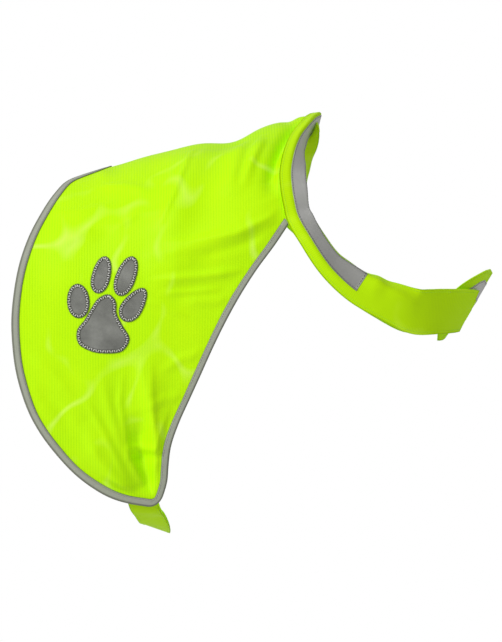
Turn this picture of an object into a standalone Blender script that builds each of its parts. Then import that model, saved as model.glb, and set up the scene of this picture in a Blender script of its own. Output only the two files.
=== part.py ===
"""Dog safety vest: a worn-shape back panel with two wings, neck band, tape, binding and belly strap.

Millimetres are used for the tables and turned into metres when a mesh is made.
+X points to the head, +Y to the wearer's left, +Z up. The origin is on the back line at the withers.
The cloth is laid out flat in (x, g): x along the back, g the girth distance from the back line,
negative on the wearer's right side. One form turns (x, g) into the worn shape.
"""
import math

import bmesh
import bpy
import numpy as np

MM = 0.001

# Cloth walls and the clearance between sewn pieces
PANEL_WALL = 1.2
BAND_WALL = 2.0
TAPE_WALL = 1.0
BINDING_WALL = 1.0
PATCH_WALL = 1.0
STRAP_WALL = 1.6
SEAM_GAP = 0.5
TAPE_GAP = 0.45
EDGE_CALM = 10.0

# Worn form of the back: an elliptic shoulder that runs on as a hanging side
SHOULDER_DEPTH = 117.0
SHOULDER_GIRTH = 176.0
HANG_LENGTH = 213.0
HANG_TUCK = 35.0

BINDING_WIDTH = 6.8
PANEL_INSET = 1.3
TAPE_FROM = 11.5
TAPE_TO = 31.5
STRAP_INSIDE = 3.7
STRAP_COLUMNS = 5
STRAP_ROWS = 29

PANEL_ROWS = 40
PANEL_COLUMNS = 15
BAND_STEP = 13.0
BINDING_STEP = 13.0
BINDING_START = 0.30

# x, height of the back line
BACK_LINE = (
    (-250, -46.5), (-189, -43), (-144, -38), (-100, -26), (-50, -13),
    (-12, -4), (18, 5), (34, 8.6), (50, 12.4), (66, 15), (90, 17),
)

# x, half width of the worn form
HALF_WIDTH = ((-250, 100), (-150, 105), (-50, 106), (10, 104), (40, 98), (80, 88))

# rear x, rear g, front x, front g of the panel's cross rows, from the back line to the tip
PANEL_TABLE = (
    (-140, 0, 65.4, 0),
    (-142.5, 7, 64.3, 9),
    (-149, 16, 60.8, 20),
    (-161, 28, 53.8, 38),
    (-176, 43, 44.6, 62),
    (-188, 66, 37.3, 86),
    (-200, 92, 33.4, 108),
    (-212, 119, 34, 127),
    (-221, 146, 35.6, 147),
    (-226, 172, 36, 158.9),
    (-228.3, 197, 20, 178.5),
    (-227.5, 220, 2, 197.8),
    (-224.5, 245, -12, 215.7),
    (-219, 267, -25, 236),
    (-211, 288.7, -38, 259.5),
    (-200.7, 307.6, -49, 281.5),
    (-187, 327, -60, 303),
    (-170, 347, -71, 325),
    (-151, 364.2, -77.6, 343),
    (-131, 379, -80.2, 363),
    (-113, 389.0, -81.3, 377),
    (-103.0, 393.5, -83.4, 384),
)
CORNER_ROW = 9
TIP_CENTRE = (-95.0, 385.55)
TIP_RADIUS = 10.5
TIP_ANGLES = (114, 98, 82, 66, 50, 34, 18)

# x, g of the band's rear edge where it lies on the panel
SEAM_LINE = (
    (59, 0), (57.8, 9), (54.4, 20), (48, 40), (36.5, 66), (29, 92), (26.2, 111), (27, 128),
    (31, 151.8),
)

# Turn of the band's cross section at those points: under the tape and at the front edge, degrees
SEAM_TURN = (
    (104, 116), (103, 115), (98, 108), (82, 92), (57, 74), (33, 64), (23, 68), (27, 86), (38, 102),
)

# Free part of the band: x, y, z of its lower edge, side-view slope, turn under the tape and at the front edge
FREE_BAND = (
    (47.2, -105, -113.7, 31, 50, 105),
    (65.9, -107, -141.2, 39, 44, 102),
    (90.9, -104, -165.0, 53, 8, 92),
    (120.8, -97, -182.4, 62, 0, 60),
    (151.8, -84, -196.8, 78, 0, 0),
    (179.4, -63, -197.2, 84, 0, 0),
    (196.5, -36, -195.8, 74, 0, 0),
    (204.0, -14, -194.2, 63, 0, 0),
    (206.0, 0, -193.6, 61, 0, 0),
)

# Free part of the band's left side sits a little higher: length from the crest, upward shift
LEFT_RISE = (
    (0, 0), (158, 0), (176, 6), (196, 7), (223, 7), (262, 5.5), (293, 3.2), (330, 1.6), (370, 0.4), (440, 0.3),
)

# Lower end of the closure: y along the front, upward slide and inward step of the inner end
CLOSURE = (
    (80, 0, 0), (54, 0, 0), (40, 0, 0), (30, 0, 0.2), (20, 3, 0.4), (10, 11, 0.8), (2, 18.5, 2.0),
    (-6, 22, 4.1), (-14, 20, 4.1), (-30, 8, 4.1), (-50, -7, 4.1),
)
OUTER_END_Y = -13.0
INNER_END_Y = -61.0
TAPE_NEAR_END_X = 92.0
TAPE_FAR_END_Y = -30.0

BAND_COLUMNS = (0.0, 8.0, 11.5, 18.0, 25.0, 31.5, 35.5, 43.0)

# Largest folds: depth (below zero is a trough), half width, then (x, g) points; right side then left side
RIGHT_FOLDS = (
    (-5.0, 9.0, (52, 14), (36, 49), (25, 71), (17, 95), (13, 113), (15, 128)),
    (2.0, 12.0, (-8, 40), (-14, 90), (-22, 120)),
    (3.0, 18.0, (-53, 35), (-68, 107), (-82, 150)),
    (2.6, 16.0, (20, 150), (-20, 160), (-62, 168), (-105, 170)),
    (-4.5, 13.0, (-95, 400), (-104, 351), (-111, 300)),
    (3.6, 14.0, (-113, 400), (-140, 335), (-160, 300)),
    (3.2, 12.0, (-86, 400), (-88, 340), (-98, 285), (-106, 250)),
)
LEFT_FOLDS = (
    (-5.0, 9.0, (52, -14), (35, -50), (24, -72), (16, -96), (12, -112), (14, -126)),
    (3.2, 19.0, (-38, -40), (-58, -110), (-66, -158)),
    (2.8, 16.0, (18, -155), (-30, -170), (-90, -182)),
    (-4.2, 14.0, (-96, -400), (-100, -350), (-116, -295)),
    (3.4, 14.0, (-112, -400), (-134, -340), (-166, -290)),
    (2.8, 12.0, (-86, -400), (-86, -335), (-92, -270)),
)

# Belly strap: first rows lie inside the panel (rear x, rear g, front x, front g)
STRAP_TUCKED = ((-128, 366, -102, 371), (-124, 376, -97.5, 381), (-119, 385, -92.5, 390))
# then hang free (rear x, rear z, front x, front z, y)
STRAP_FREE = (
    (-115.5, -366.5, -87.5, -367.5, -60),
    (-111.0, -372.5, -83.5, -373.5, -45),
    (-106.5, -379.5, -78.5, -384.0, -24),
    (-104.5, -381.5, -78.0, -389.5, 0),
)

# Paw patches in the side view. Toes: x, z, half width, half length, lean in degrees, pointedness
TOES = (
    (-165.2, -165.9, 10.4, 16.0, -4, 0.04),
    (-143.2, -141.2, 8.6, 17.6, 14, 0.10),
    (-119.8, -142.4, 9.2, 19.4, 21, 0.08),
    (-112.4, -169.2, 9.6, 18.0, 35, 0.26),
)
# Pad: x, z
PAD = (
    (-136, -160), (-131, -165), (-130, -176), (-123.5, -189.5), (-117, -202.5), (-122.5, -212.3),
    (-137, -215.3), (-155, -212.5), (-165, -205.8), (-166.2, -194.5), (-158.6, -183.5),
    (-152, -172.5), (-145, -163.2),
)
PAD_CENTRE = (-142.0, -197.0)
PATCH_SPOKES = 20


def curve(table, column, at):
    """Smooth curve through one column of a table, keyed by its first column."""
    keys = np.array([row[0] for row in table], float)
    values = np.array([row[column] for row in table], float)
    return hermite(keys, values, at)


def hermite(keys, values, at):
    at = np.asarray(at, float)
    slopes = np.gradient(values, keys)
    i = np.clip(np.searchsorted(keys, at, side="right") - 1, 0, len(keys) - 2)
    step = keys[i + 1] - keys[i]
    u = (at - keys[i]) / step
    return ((2 * u**3 - 3 * u**2 + 1) * values[i] + (u**3 - 2 * u**2 + u) * step * slopes[i]
            + (3 * u**2 - 2 * u**3) * values[i + 1] + (u**3 - u**2) * step * slopes[i + 1])


def chord_lengths(points):
    points = np.asarray(points, float)
    return np.concatenate([[0.0], np.cumsum(np.linalg.norm(np.diff(points, axis=0), axis=1))])


def smooth_path(points, count):
    """Resample a path through the given points at even distances."""
    points = np.asarray(points, float)
    keys = chord_lengths(points)
    dense_at = np.linspace(0, keys[-1], 40 * len(points))
    dense = np.stack([hermite(keys, points[:, k], dense_at) for k in range(points.shape[1])], axis=1)
    length = chord_lengths(dense)
    at = np.linspace(0, length[-1], count)
    return np.stack([np.interp(at, length, dense[:, k]) for k in range(points.shape[1])], axis=1)


def unit(v):
    return v / np.maximum(np.linalg.norm(v, axis=-1, keepdims=True), 1e-9)


def trunk(x, g):
    """Worn form without folds."""
    x = np.asarray(x, float)
    g = np.asarray(g, float)
    girth = np.abs(g)
    half = curve(HALF_WIDTH, 1, x)
    angle = np.minimum(girth / SHOULDER_GIRTH, 1.0) * math.pi / 2
    over = np.maximum(girth - SHOULDER_GIRTH, 0.0)
    y = half * np.sin(angle) - HANG_TUCK * (over / HANG_LENGTH) ** 2
    depth = SHOULDER_DEPTH * (1 - np.cos(angle)) + over
    return np.stack([x, np.sign(g) * y, curve(BACK_LINE, 1, x) - depth], axis=-1)


def side_girth(x, z):
    """Girth distance of the point seen at height z in the side view."""
    depth = curve(BACK_LINE, 1, x) - z
    arc = np.arccos(np.clip(1 - depth / SHOULDER_DEPTH, -1, 1)) * SHOULDER_GIRTH * 2 / math.pi
    return np.where(depth < SHOULDER_DEPTH, arc, SHOULDER_GIRTH + depth - SHOULDER_DEPTH)


def outward(form, x, g, step=0.8):
    along = form(x + step, g) - form(x - step, g)
    across = form(x, g + step) - form(x, g - step)
    return unit(np.cross(along, across))


def distance_to(points, x, g):
    """Distance in the flat layout from (x, g) to a line of points, and how far along it is."""
    best = np.full(x.shape, 1e9)
    place = np.zeros(x.shape)
    points = np.asarray(points, float)
    lengths = chord_lengths(points)
    for i in range(len(points) - 1):
        start, end = points[i], points[i + 1]
        run = end - start
        size = float(run @ run)
        t = np.clip(((x - start[0]) * run[0] + (g - start[1]) * run[1]) / size, 0, 1)
        d = np.hypot(x - start[0] - t * run[0], g - start[1] - t * run[1])
        closer = d < best
        best = np.where(closer, d, best)
        place = np.where(closer, (lengths[i] + t * math.sqrt(size)) / lengths[-1], place)
    return best, place


def fold_height(x, g):
    """Outward displacement of the cloth by its largest folds."""
    total = np.zeros(np.broadcast(x, g).shape)
    x = x + total
    g = g + total
    for folds, sign in ((RIGHT_FOLDS, -1), (LEFT_FOLDS, 1)):
        for depth, half, *points in folds:
            line = [(p[0], sign * abs(p[1])) for p in points]
            d, place = distance_to(line, x, g)
            ends = np.clip(np.minimum(place, 1 - place) * 4, 0, 1)
            total += depth * np.exp(-(d / half) ** 2) * ends
    seam_x = np.interp(np.abs(g), [p[1] for p in SEAM_LINE], [p[0] for p in SEAM_LINE])
    clear = np.clip((seam_x - 3.0 - x) / 9.0, 0, 1)
    clear = clear * clear * (3 - 2 * clear)
    rear, tip, front = half_outline()
    edge, _ = distance_to(rear + tip + front, x, np.abs(g))
    calm = np.clip((edge - EDGE_CALM) / EDGE_CALM, 0, 1)
    calm = calm * calm * (3 - 2 * calm)
    return total * calm * np.where(np.abs(g) < 175, clear, 1.0)


def cloth(x, g):
    """Mid surface of the back panel with its folds."""
    x, g = np.broadcast_arrays(np.asarray(x, float), np.asarray(g, float))
    return trunk(x, g) + outward(trunk, x, g) * fold_height(x, g)[..., None]


def lifted_cloth(x, g, height):
    """Point on the panel moved out along its own normal."""
    x, g = np.broadcast_arrays(np.asarray(x, float), np.asarray(g, float))
    return cloth(x, g) + outward(cloth, x, g) * np.broadcast_to(height, x.shape)[..., None]


def half_outline():
    """Free outline of one wing in the flat layout: back line, rear edge, tip, front edge to the corner."""
    rear = [(row[0], row[1]) for row in PANEL_TABLE]
    tip = [(TIP_CENTRE[0] + TIP_RADIUS * math.cos(math.radians(a)),
            TIP_CENTRE[1] + TIP_RADIUS * math.sin(math.radians(a))) for a in TIP_ANGLES]
    front = [(row[2], row[3]) for row in reversed(PANEL_TABLE[CORNER_ROW:])]
    return rear, tip, front


def grid_normals(points):
    along = np.gradient(points, axis=0)
    across = np.gradient(points, axis=1)
    return unit(np.cross(along, across))


def sheet_faces(rows, columns):
    """Faces of a closed sheet whose second layer follows the first in the vertex list."""
    layer = rows * columns
    faces = []
    for i in range(rows - 1):
        for j in range(columns - 1):
            a, b = i * columns + j, i * columns + j + 1
            c, d = a + columns + 1, a + columns
            faces.append((a, b, c, d))
            faces.append((a + layer, d + layer, c + layer, b + layer))
    rim = [j for j in range(columns)]
    rim += [i * columns + columns - 1 for i in range(1, rows)]
    rim += [(rows - 1) * columns + j for j in range(columns - 2, -1, -1)]
    rim += [i * columns for i in range(rows - 2, 0, -1)]
    for k, a in enumerate(rim):
        b = rim[(k + 1) % len(rim)]
        faces.append((a, a + layer, b + layer, b))
    return faces


def make_object(name, points, faces, material):
    mesh = bpy.data.meshes.new(name)
    mesh.from_pydata([tuple(p * MM) for p in np.asarray(points, float).reshape(-1, 3)], [], faces)
    body = bmesh.new()
    body.from_mesh(mesh)
    bmesh.ops.recalc_face_normals(body, faces=body.faces)
    if body.calc_volume(signed=True) < 0:
        bmesh.ops.reverse_faces(body, faces=body.faces)
    bmesh.ops.triangulate(body, faces=body.faces)
    body.to_mesh(mesh)
    body.free()
    mesh.materials.append(material)
    thing = bpy.data.objects.new(name, mesh)
    bpy.context.scene.collection.objects.link(thing)
    return thing


def make_sheet(name, points, normals, low, high, material):
    """Closed sheet between two heights above a grid of points."""
    layers = np.concatenate([(points + normals * low).reshape(-1, 3), (points + normals * high).reshape(-1, 3)])
    return make_object(name, layers, sheet_faces(*points.shape[:2]), material)


def fabric(name, colour, roughness):
    material = bpy.data.materials.new(name)
    material.use_nodes = True
    shader = material.node_tree.nodes["Principled BSDF"]
    shader.inputs["Base Color"].default_value = (*colour, 1.0)
    shader.inputs["Roughness"].default_value = roughness
    material.diffuse_color = (*colour, 1.0)
    return material


def panel_rows():
    """Rear and front ends of the panel's cross rows on one side, moved in under the binding."""
    rear, tip, front = half_outline()
    rear_line = smooth_path(rear + tip[:2], 400)
    front_line = smooth_path(tip[-3:] + front, 400)
    rear_line[0, 1] = 0.0
    rows = []
    seam = np.array([(row[2], row[3]) for row in PANEL_TABLE[:CORNER_ROW + 1]], float)
    keys = np.array([(a[0] + a[2], a[1] + a[3]) for a in PANEL_TABLE], float) / 2
    keys = chord_lengths(keys)
    table = np.array(PANEL_TABLE, float)
    seam_count = keys[CORNER_ROW]
    upper = int(PANEL_ROWS * seam_count / keys[-1])
    at = np.concatenate([np.linspace(0, seam_count, upper), np.linspace(seam_count, keys[-1], PANEL_ROWS - upper)[1:]])
    for s in at:
        r = np.array([hermite(keys, table[:, 0], s), hermite(keys, table[:, 1], s)])
        if s < seam_count - 1e-6:
            f = np.array([np.interp(s, keys[:CORNER_ROW + 1], seam[:, 0]),
                          np.interp(s, keys[:CORNER_ROW + 1], seam[:, 1])])
            f_in = f
        else:
            f = np.array([hermite(keys, table[:, 2], s), hermite(keys, table[:, 3], s)])
            f_in = inset(front_line, f, -1)
        rows.append((inset(rear_line, r, -1), f_in))
    # last row crosses the rounded tip
    for a, b in ((100, 30), (88, 44)):
        ends = [np.array(TIP_CENTRE) + (TIP_RADIUS - PANEL_INSET)
                * np.array([math.cos(math.radians(k)), math.sin(math.radians(k))]) for k in (a, b)]
        rows.append(tuple(ends))
    rows[0][0][1] = rows[0][1][1] = 0.0
    return rows


def inset(line, point, side):
    """Nearest point of a line moved in by the panel's inset."""
    i = int(np.argmin(np.linalg.norm(line - point, axis=1)))
    a, b = line[max(i - 2, 0)], line[min(i + 2, len(line) - 1)]
    run = unit(b - a)
    normal = np.array([-run[1], run[0]]) * side
    return line[i] + normal * PANEL_INSET


def back_panel(material):
    rows = panel_rows()
    spread = 1 - (1 - np.linspace(0, 1, PANEL_COLUMNS)[:, None]) ** 1.25
    left = np.array([rear + (front - rear) * spread for rear, front in rows])
    right = left[1:][::-1] * np.array([1, -1])
    flat = np.concatenate([right, left])
    points = cloth(flat[..., 0], flat[..., 1])
    normals = outward(cloth, flat[..., 0], flat[..., 1])
    return make_sheet("back_panel", points, normals, -PANEL_WALL / 2, PANEL_WALL / 2, material)


def binding_path():
    """Full free outline from the left corner round both wings to the right corner."""
    rear, tip, front = half_outline()
    corner, after = np.array(front[-1]), np.array(front[-2])
    front = front[:-1] + [tuple(corner + (after - corner) * BINDING_START)]
    rear_path = smooth_path(rear + tip[:1], int(chord_lengths(rear)[-1] / BINDING_STEP))
    front_path = smooth_path(tip[-1:] + front, int(chord_lengths(front)[-1] / BINDING_STEP))
    right = np.concatenate([rear_path, np.array(tip[1:-1]), front_path])
    right[0, 1] = 0.0
    left = right[1:][::-1] * np.array([1, -1])
    both = np.concatenate([left, right])
    both[:, 1] *= -1
    return both


def edge_binding(material):
    """One U-section strip folded over the panel's free edge."""
    path = binding_path()
    tangent = unit(np.gradient(path, axis=0))
    inward = np.stack([tangent[:, 1], -tangent[:, 0]], axis=1)
    middle = len(path) // 2
    if inward[middle, 0] < 0:
        inward = -inward
    near = PANEL_WALL / 2 + SEAM_GAP
    far = near + BINDING_WALL
    profile = (
        (BINDING_WIDTH, far), (3.6, far), (0.5, far), (-0.4, 0.5 * far), (-0.4, -0.5 * far), (0.5, -far),
        (3.6, -far), (BINDING_WIDTH, -far), (BINDING_WIDTH, -near), (3.6, -near), (0.9, -near),
        (0.9, near), (3.6, near), (BINDING_WIDTH, near),
    )
    rings = []
    for d, h in profile:
        flat = path + inward * d
        rings.append(lifted_cloth(flat[:, 0], flat[:, 1], h))
    points = np.stack(rings, axis=1)
    count, ring = points.shape[:2]
    faces = []
    for i in range(count - 1):
        for k in range(ring):
            n = (k + 1) % ring
            faces.append((i * ring + k, i * ring + n, (i + 1) * ring + n, (i + 1) * ring + k))
    for i in (0, count - 1):
        base = i * ring
        for k in range(6):
            quad = (base + k, base + k + 1, base + ring - 2 - k, base + ring - 1 - k)
            faces.append(quad)
    return make_object("edge_binding", points, faces, material)


def band_stations():
    """Lower edge, cross direction, outward direction and turns of the band from the crest to the front."""
    lift = PANEL_WALL / 2 + SEAM_GAP + BAND_WALL / 2
    seam = np.array(SEAM_LINE, float)
    keys = chord_lengths(seam)
    at = np.linspace(0, keys[-1], 15)
    x = hermite(keys, seam[:, 0], at)
    g = hermite(keys, seam[:, 1], at)
    g[0] = 0.0
    edge = trunk(x, -g) + outward(trunk, x, -g) * lift
    cross = unit(trunk(x + 1, -g) - trunk(x, -g))
    face = outward(trunk, x, -g)
    turns = np.stack([np.interp(at, keys, [t[k] for t in SEAM_TURN]) for k in (0, 1)], axis=1)

    free = np.array(FREE_BAND, float)
    line = np.concatenate([edge[-3:], free[:, :3]])
    steps = chord_lengths(line)
    count = int((steps[-1] - steps[2]) / BAND_STEP) + 1
    along = np.linspace(steps[2], steps[-1], count)[1:]
    free_edge = np.stack([hermite(steps, line[:, k], along) for k in range(3)], axis=1)
    slope_keys = steps[2:]
    slopes = np.interp(along, slope_keys, [12.0] + list(free[:, 3]))
    free_turns = np.stack([np.interp(along, slope_keys, [SEAM_TURN[-1][k]] + list(free[:, 4 + k]))
                           for k in (0, 1)], axis=1)
    edge = np.concatenate([edge, free_edge])
    run = unit(np.gradient(edge, axis=0))
    run[0] = (0, -1, 0)
    run[-1] = (0, 1, 0)
    free_cross = np.stack([np.cos(np.radians(slopes)), 0 * slopes, np.sin(np.radians(slopes))], axis=1)
    free_run = run[len(cross):]
    free_cross = unit(free_cross - free_run * np.sum(free_cross * free_run, axis=1)[:, None])
    free_face = unit(np.cross(free_run, free_cross))
    centre = np.array([60.0, 0.0, -60.0])
    flip = np.where(np.sum(free_face * (free_edge - centre), axis=1) < 0, -1.0, 1.0)
    free_face = free_face * flip[:, None]
    return edge, np.concatenate([cross, free_cross]), np.concatenate([face, free_face]), np.concatenate([turns, free_turns])


def band_section(edge, cross, face, turns, w):
    """Point at distance w across the band, which rolls inward past its seam allowance."""
    steps = 24
    point = edge.copy()
    for k in range(steps):
        u = w * (k + 0.5) / steps
        ramp = np.clip((u - 8.0) / 3.0, 0, 1)
        part = np.clip((u - 28.0) / 5.0, 0, 1)
        turn = np.radians((turns[0] + (turns[1] - turns[0]) * part) * ramp)
        point = point + (cross * math.cos(turn) - face * math.sin(turn)) * (w / steps)
    return point


def band_grid():
    """Mid surface of the whole band: outer end, right side, crest, left side, inner end."""
    edge, cross, face, turns = band_stations()
    right = np.array([[band_section(edge[i], cross[i], face[i], turns[i], w) for w in BAND_COLUMNS]
                      for i in range(len(edge))])
    mirror = np.array([1.0, -1.0, 1.0])
    keep = (edge[:, 1] <= OUTER_END_Y) | (edge[:, 0] < 120)
    near = right[keep][::-1]
    left = (right * mirror)[1:]
    left_face = (face * mirror)[1:]
    left_cross = (cross * mirror)[1:]
    closure = np.array(CLOSURE, float)[::-1]
    lengths = chord_lengths(edge)[1:]
    shift = []
    for i in range(len(left)):
        y = left[i, 0, 1]
        front = left[i, 0, 0] > 120
        up = np.interp(lengths[i], *np.array(LEFT_RISE, float).T)
        if front:
            up = max(up, np.interp(y, closure[:, 0], closure[:, 1]))
        step = np.interp(y, closure[:, 0], closure[:, 2]) if front else 0.0
        shift.append(left[i] + left_cross[i] * up - left_face[i] * step)
    left = np.array(shift)
    inner = []
    for i in range(len(edge) - 2, -1, -1):
        y = edge[i, 1]
        if y < INNER_END_Y or edge[i, 0] < 120:
            break
        up = np.interp(y, closure[:, 0], closure[:, 1])
        step = np.interp(y, closure[:, 0], closure[:, 2])
        inner.append(right[i] + cross[i] * up - face[i] * step)
    return np.concatenate([near, left, np.array(inner)]), len(near) - 1


def neck_band(points, material):
    return make_sheet("neck_band", points, grid_normals(points), -BAND_WALL / 2, BAND_WALL / 2, material)


def neck_tape(points, crest, material):
    """Reflective tape along the middle of the band, from its cut end on the right to the front."""
    normals = -grid_normals(points)
    columns = slice(BAND_COLUMNS.index(TAPE_FROM), BAND_COLUMNS.index(TAPE_TO) + 1)
    first = int(np.argmax(points[:crest, 0, 0] <= TAPE_NEAR_END_X))
    last = len(points) - 1
    while points[last, 0, 1] < TAPE_FAR_END_Y:
        last -= 1
    low = BAND_WALL / 2 + TAPE_GAP
    part = slice(first, last + 1)
    return make_sheet("neck_tape", points[part, columns], normals[part, columns], low, low + TAPE_WALL, material)


def belly_strap(material):
    """Strap from inside one tip, under the belly, to inside the other."""
    across = np.linspace(0, 1, STRAP_COLUMNS)
    sides = []
    for sign in (-1, 1):
        rows = []
        for rear_x, rear_g, front_x, front_g in STRAP_TUCKED:
            x = rear_x + (front_x - rear_x) * across
            g = sign * (rear_g + (front_g - rear_g) * across)
            rows.append(lifted_cloth(x, g, -STRAP_INSIDE))
        for rear_x, rear_z, front_x, front_z, y in STRAP_FREE:
            rows.append(np.stack([rear_x + (front_x - rear_x) * across, 0 * across + sign * abs(y),
                                  rear_z + (front_z - rear_z) * across], axis=1))
        sides.append(np.array(rows))
    right, left = sides
    rows = np.concatenate([right, left[:-1][::-1]])
    flat = rows.reshape(len(rows), -1)
    keys = chord_lengths(rows.mean(axis=1))
    at = np.linspace(0, keys[-1], STRAP_ROWS)
    points = np.stack([hermite(keys, flat[:, k], at) for k in range(flat.shape[1])], axis=1)
    points = points.reshape(STRAP_ROWS, STRAP_COLUMNS, 3)
    return make_sheet("belly_strap", points, grid_normals(points), -STRAP_WALL / 2, STRAP_WALL / 2, material)


def patch(name, centre, outline, material):
    """Flat patch on the right wing, made of rings round a centre."""
    low = PANEL_WALL / 2 + SEAM_GAP
    rings = (0.35, 0.7, 1.0)
    outline = np.array(outline, float)
    centre = np.array(centre, float)
    count = len(outline)
    flat = np.concatenate([[centre]] + [centre + (outline - centre) * r for r in rings])
    girth = side_girth(flat[:, 0], flat[:, 1])
    bottom = lifted_cloth(flat[:, 0], -girth, low)
    top = lifted_cloth(flat[:, 0], -girth, low + PATCH_WALL)
    layer = len(flat)
    faces = []
    for k in range(count):
        n = (k + 1) % count
        faces.append((0, 1 + k, 1 + n))
        faces.append((layer, layer + 1 + n, layer + 1 + k))
        for r in range(len(rings) - 1):
            a, b = 1 + r * count, 1 + (r + 1) * count
            faces.append((a + k, b + k, b + n, a + n))
            faces.append((layer + a + k, layer + a + n, layer + b + n, layer + b + k))
        rim = 1 + (len(rings) - 1) * count
        faces.append((rim + k, layer + rim + k, layer + rim + n, rim + n))
    return make_object(name, np.concatenate([bottom, top]), faces, material)


def toe_outline(x, z, half_width, half_length, lean, point):
    """Egg shape that leans forward, narrower at its upper end."""
    turn = math.radians(lean)
    outline = []
    for k in range(PATCH_SPOKES):
        angle = 2 * math.pi * k / PATCH_SPOKES
        across = half_width * math.sin(angle) * (1 - point * math.cos(angle))
        up = half_length * math.cos(angle)
        outline.append((x + across * math.cos(turn) + up * math.sin(turn),
                        z - across * math.sin(turn) + up * math.cos(turn)))
    return outline


def pad_outline():
    closed = np.array(list(PAD) + [PAD[0]], float)
    return smooth_path(closed, 29)[:-1]


def build():
    for thing in list(bpy.data.objects):
        bpy.data.objects.remove(thing, do_unlink=True)
    cloth_neon = fabric("hi_vis_cloth", (0.46, 0.98, 0.01), 0.75)
    band_neon = fabric("hi_vis_band", (0.42, 0.90, 0.01), 0.75)
    strap_neon = fabric("hi_vis_strap", (0.38, 0.84, 0.01), 0.75)
    tape_grey = fabric("reflective_tape", (0.30, 0.30, 0.28), 0.45)
    binding_grey = fabric("grey_binding", (0.29, 0.30, 0.28), 0.7)
    back_panel(cloth_neon)
    points, crest = band_grid()
    neck_band(points, band_neon)
    neck_tape(points, crest, tape_grey)
    edge_binding(binding_grey)
    belly_strap(strap_neon)
    patch("paw_pad", PAD_CENTRE, pad_outline(), fabric("paw_pad_grey", (0.19, 0.20, 0.18), 0.6))
    for k, toe in enumerate(TOES):
        patch("paw_toe_%d" % (k + 1), toe[:2], toe_outline(*toe),
              fabric("paw_toe_grey_%d" % (k + 1), (0.19, 0.20, 0.18), 0.6))


build()
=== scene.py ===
# Dog safety vest, worn shape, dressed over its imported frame
import math

import bpy
import numpy as np
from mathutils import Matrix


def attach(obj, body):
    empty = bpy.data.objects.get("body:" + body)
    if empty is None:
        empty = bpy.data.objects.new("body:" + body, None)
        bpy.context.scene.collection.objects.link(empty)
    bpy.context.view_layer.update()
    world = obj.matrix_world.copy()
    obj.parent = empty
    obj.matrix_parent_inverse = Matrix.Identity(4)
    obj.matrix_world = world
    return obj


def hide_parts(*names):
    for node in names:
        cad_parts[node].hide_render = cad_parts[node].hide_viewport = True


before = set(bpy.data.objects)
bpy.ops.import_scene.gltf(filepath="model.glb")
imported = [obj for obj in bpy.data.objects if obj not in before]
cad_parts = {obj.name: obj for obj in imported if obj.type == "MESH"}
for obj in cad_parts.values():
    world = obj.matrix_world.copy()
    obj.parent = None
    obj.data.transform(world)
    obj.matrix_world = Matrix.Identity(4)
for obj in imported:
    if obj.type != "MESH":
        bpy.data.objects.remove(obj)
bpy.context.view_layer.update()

mm = 0.001
print("frame loaded")

# the worn form: the cloth is laid flat in x (along the back) and g (girth from the back line), in mm
form = {
    "shoulderDepth": 117.0,
    "shoulderGirth": 176.0,
    "hangLength": 213.0,
    "hangTuck": 35.0,
    "backLine": ((-250, -46.5), (-189, -43), (-144, -38), (-100, -26), (-50, -13),
                 (-12, -4), (18, 5), (34, 8.6), (50, 12.4), (66, 15), (90, 17)),
    "halfWidth": ((-250, 100), (-150, 105), (-50, 106), (10, 104), (40, 98), (80, 88)),
}


def hermite(keys, values, at):
    keys = np.asarray(keys, float)
    values = np.asarray(values, float)
    at = np.asarray(at, float)
    slopes = np.gradient(values, keys)
    i = np.clip(np.searchsorted(keys, at, side="right") - 1, 0, len(keys) - 2)
    step = keys[i + 1] - keys[i]
    u = (at - keys[i]) / step
    return ((2 * u**3 - 3 * u**2 + 1) * values[i] + (u**3 - 2 * u**2 + u) * step * slopes[i]
            + (3 * u**2 - 2 * u**3) * values[i + 1] + (u**3 - u**2) * step * slopes[i + 1])


def tableCurve(table, at):
    keys, values = zip(*table)
    return hermite(keys, values, at)


def curveThrough(keys, table, at):  # smooth through every column of a table
    return np.stack([hermite(keys, column, at) for column in np.asarray(table, float).T], axis=-1)


def lineThrough(keys, table, at):  # straight from row to row
    return np.stack([np.interp(at, keys, column) for column in np.asarray(table, float).T], axis=-1)


def chordLengths(points):
    points = np.asarray(points, float)
    return np.concatenate([[0.0], np.cumsum(np.linalg.norm(np.diff(points, axis=0), axis=1))])


def smoothPath(points, count, fineness=60):  # evenly spaced points
    keys = chordLengths(points)
    dense = curveThrough(keys, points, np.linspace(0, keys[-1], fineness * len(points)))
    length = chordLengths(dense)
    return lineThrough(length, dense, np.linspace(0, length[-1], count))


def unit(v):
    return v / np.maximum(np.linalg.norm(v, axis=-1, keepdims=True), 1e-9)


def easeIn(t):
    t = np.clip(t, 0, 1)
    return t * t * (3 - 2 * t)


def trunk(x, g):
    girth = np.abs(g)
    angle = np.minimum(girth / form["shoulderGirth"], 1.0) * math.pi / 2
    over = np.maximum(girth - form["shoulderGirth"], 0.0)
    y = tableCurve(form["halfWidth"], x) * np.sin(angle) - form["hangTuck"] * (over / form["hangLength"]) ** 2
    depth = form["shoulderDepth"] * (1 - np.cos(angle)) + over
    return np.stack([x, np.sign(g) * y, tableCurve(form["backLine"], x) - depth], axis=-1)


def sideGirth(x, z):  # girth distance of a point seen at height z in the side view
    depth = tableCurve(form["backLine"], x) - z
    deep = form["shoulderDepth"]
    arc = np.arccos(np.clip(1 - depth / deep, -1, 1)) * form["shoulderGirth"] * 2 / math.pi
    return np.where(depth < deep, arc, form["shoulderGirth"] + depth - deep)


def outward(surface, x, g, step=0.6):
    alongX, alongG = surface(x + step, g) - surface(x - step, g), surface(x, g + step) - surface(x, g - step)
    return unit(np.cross(alongX, alongG))


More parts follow.
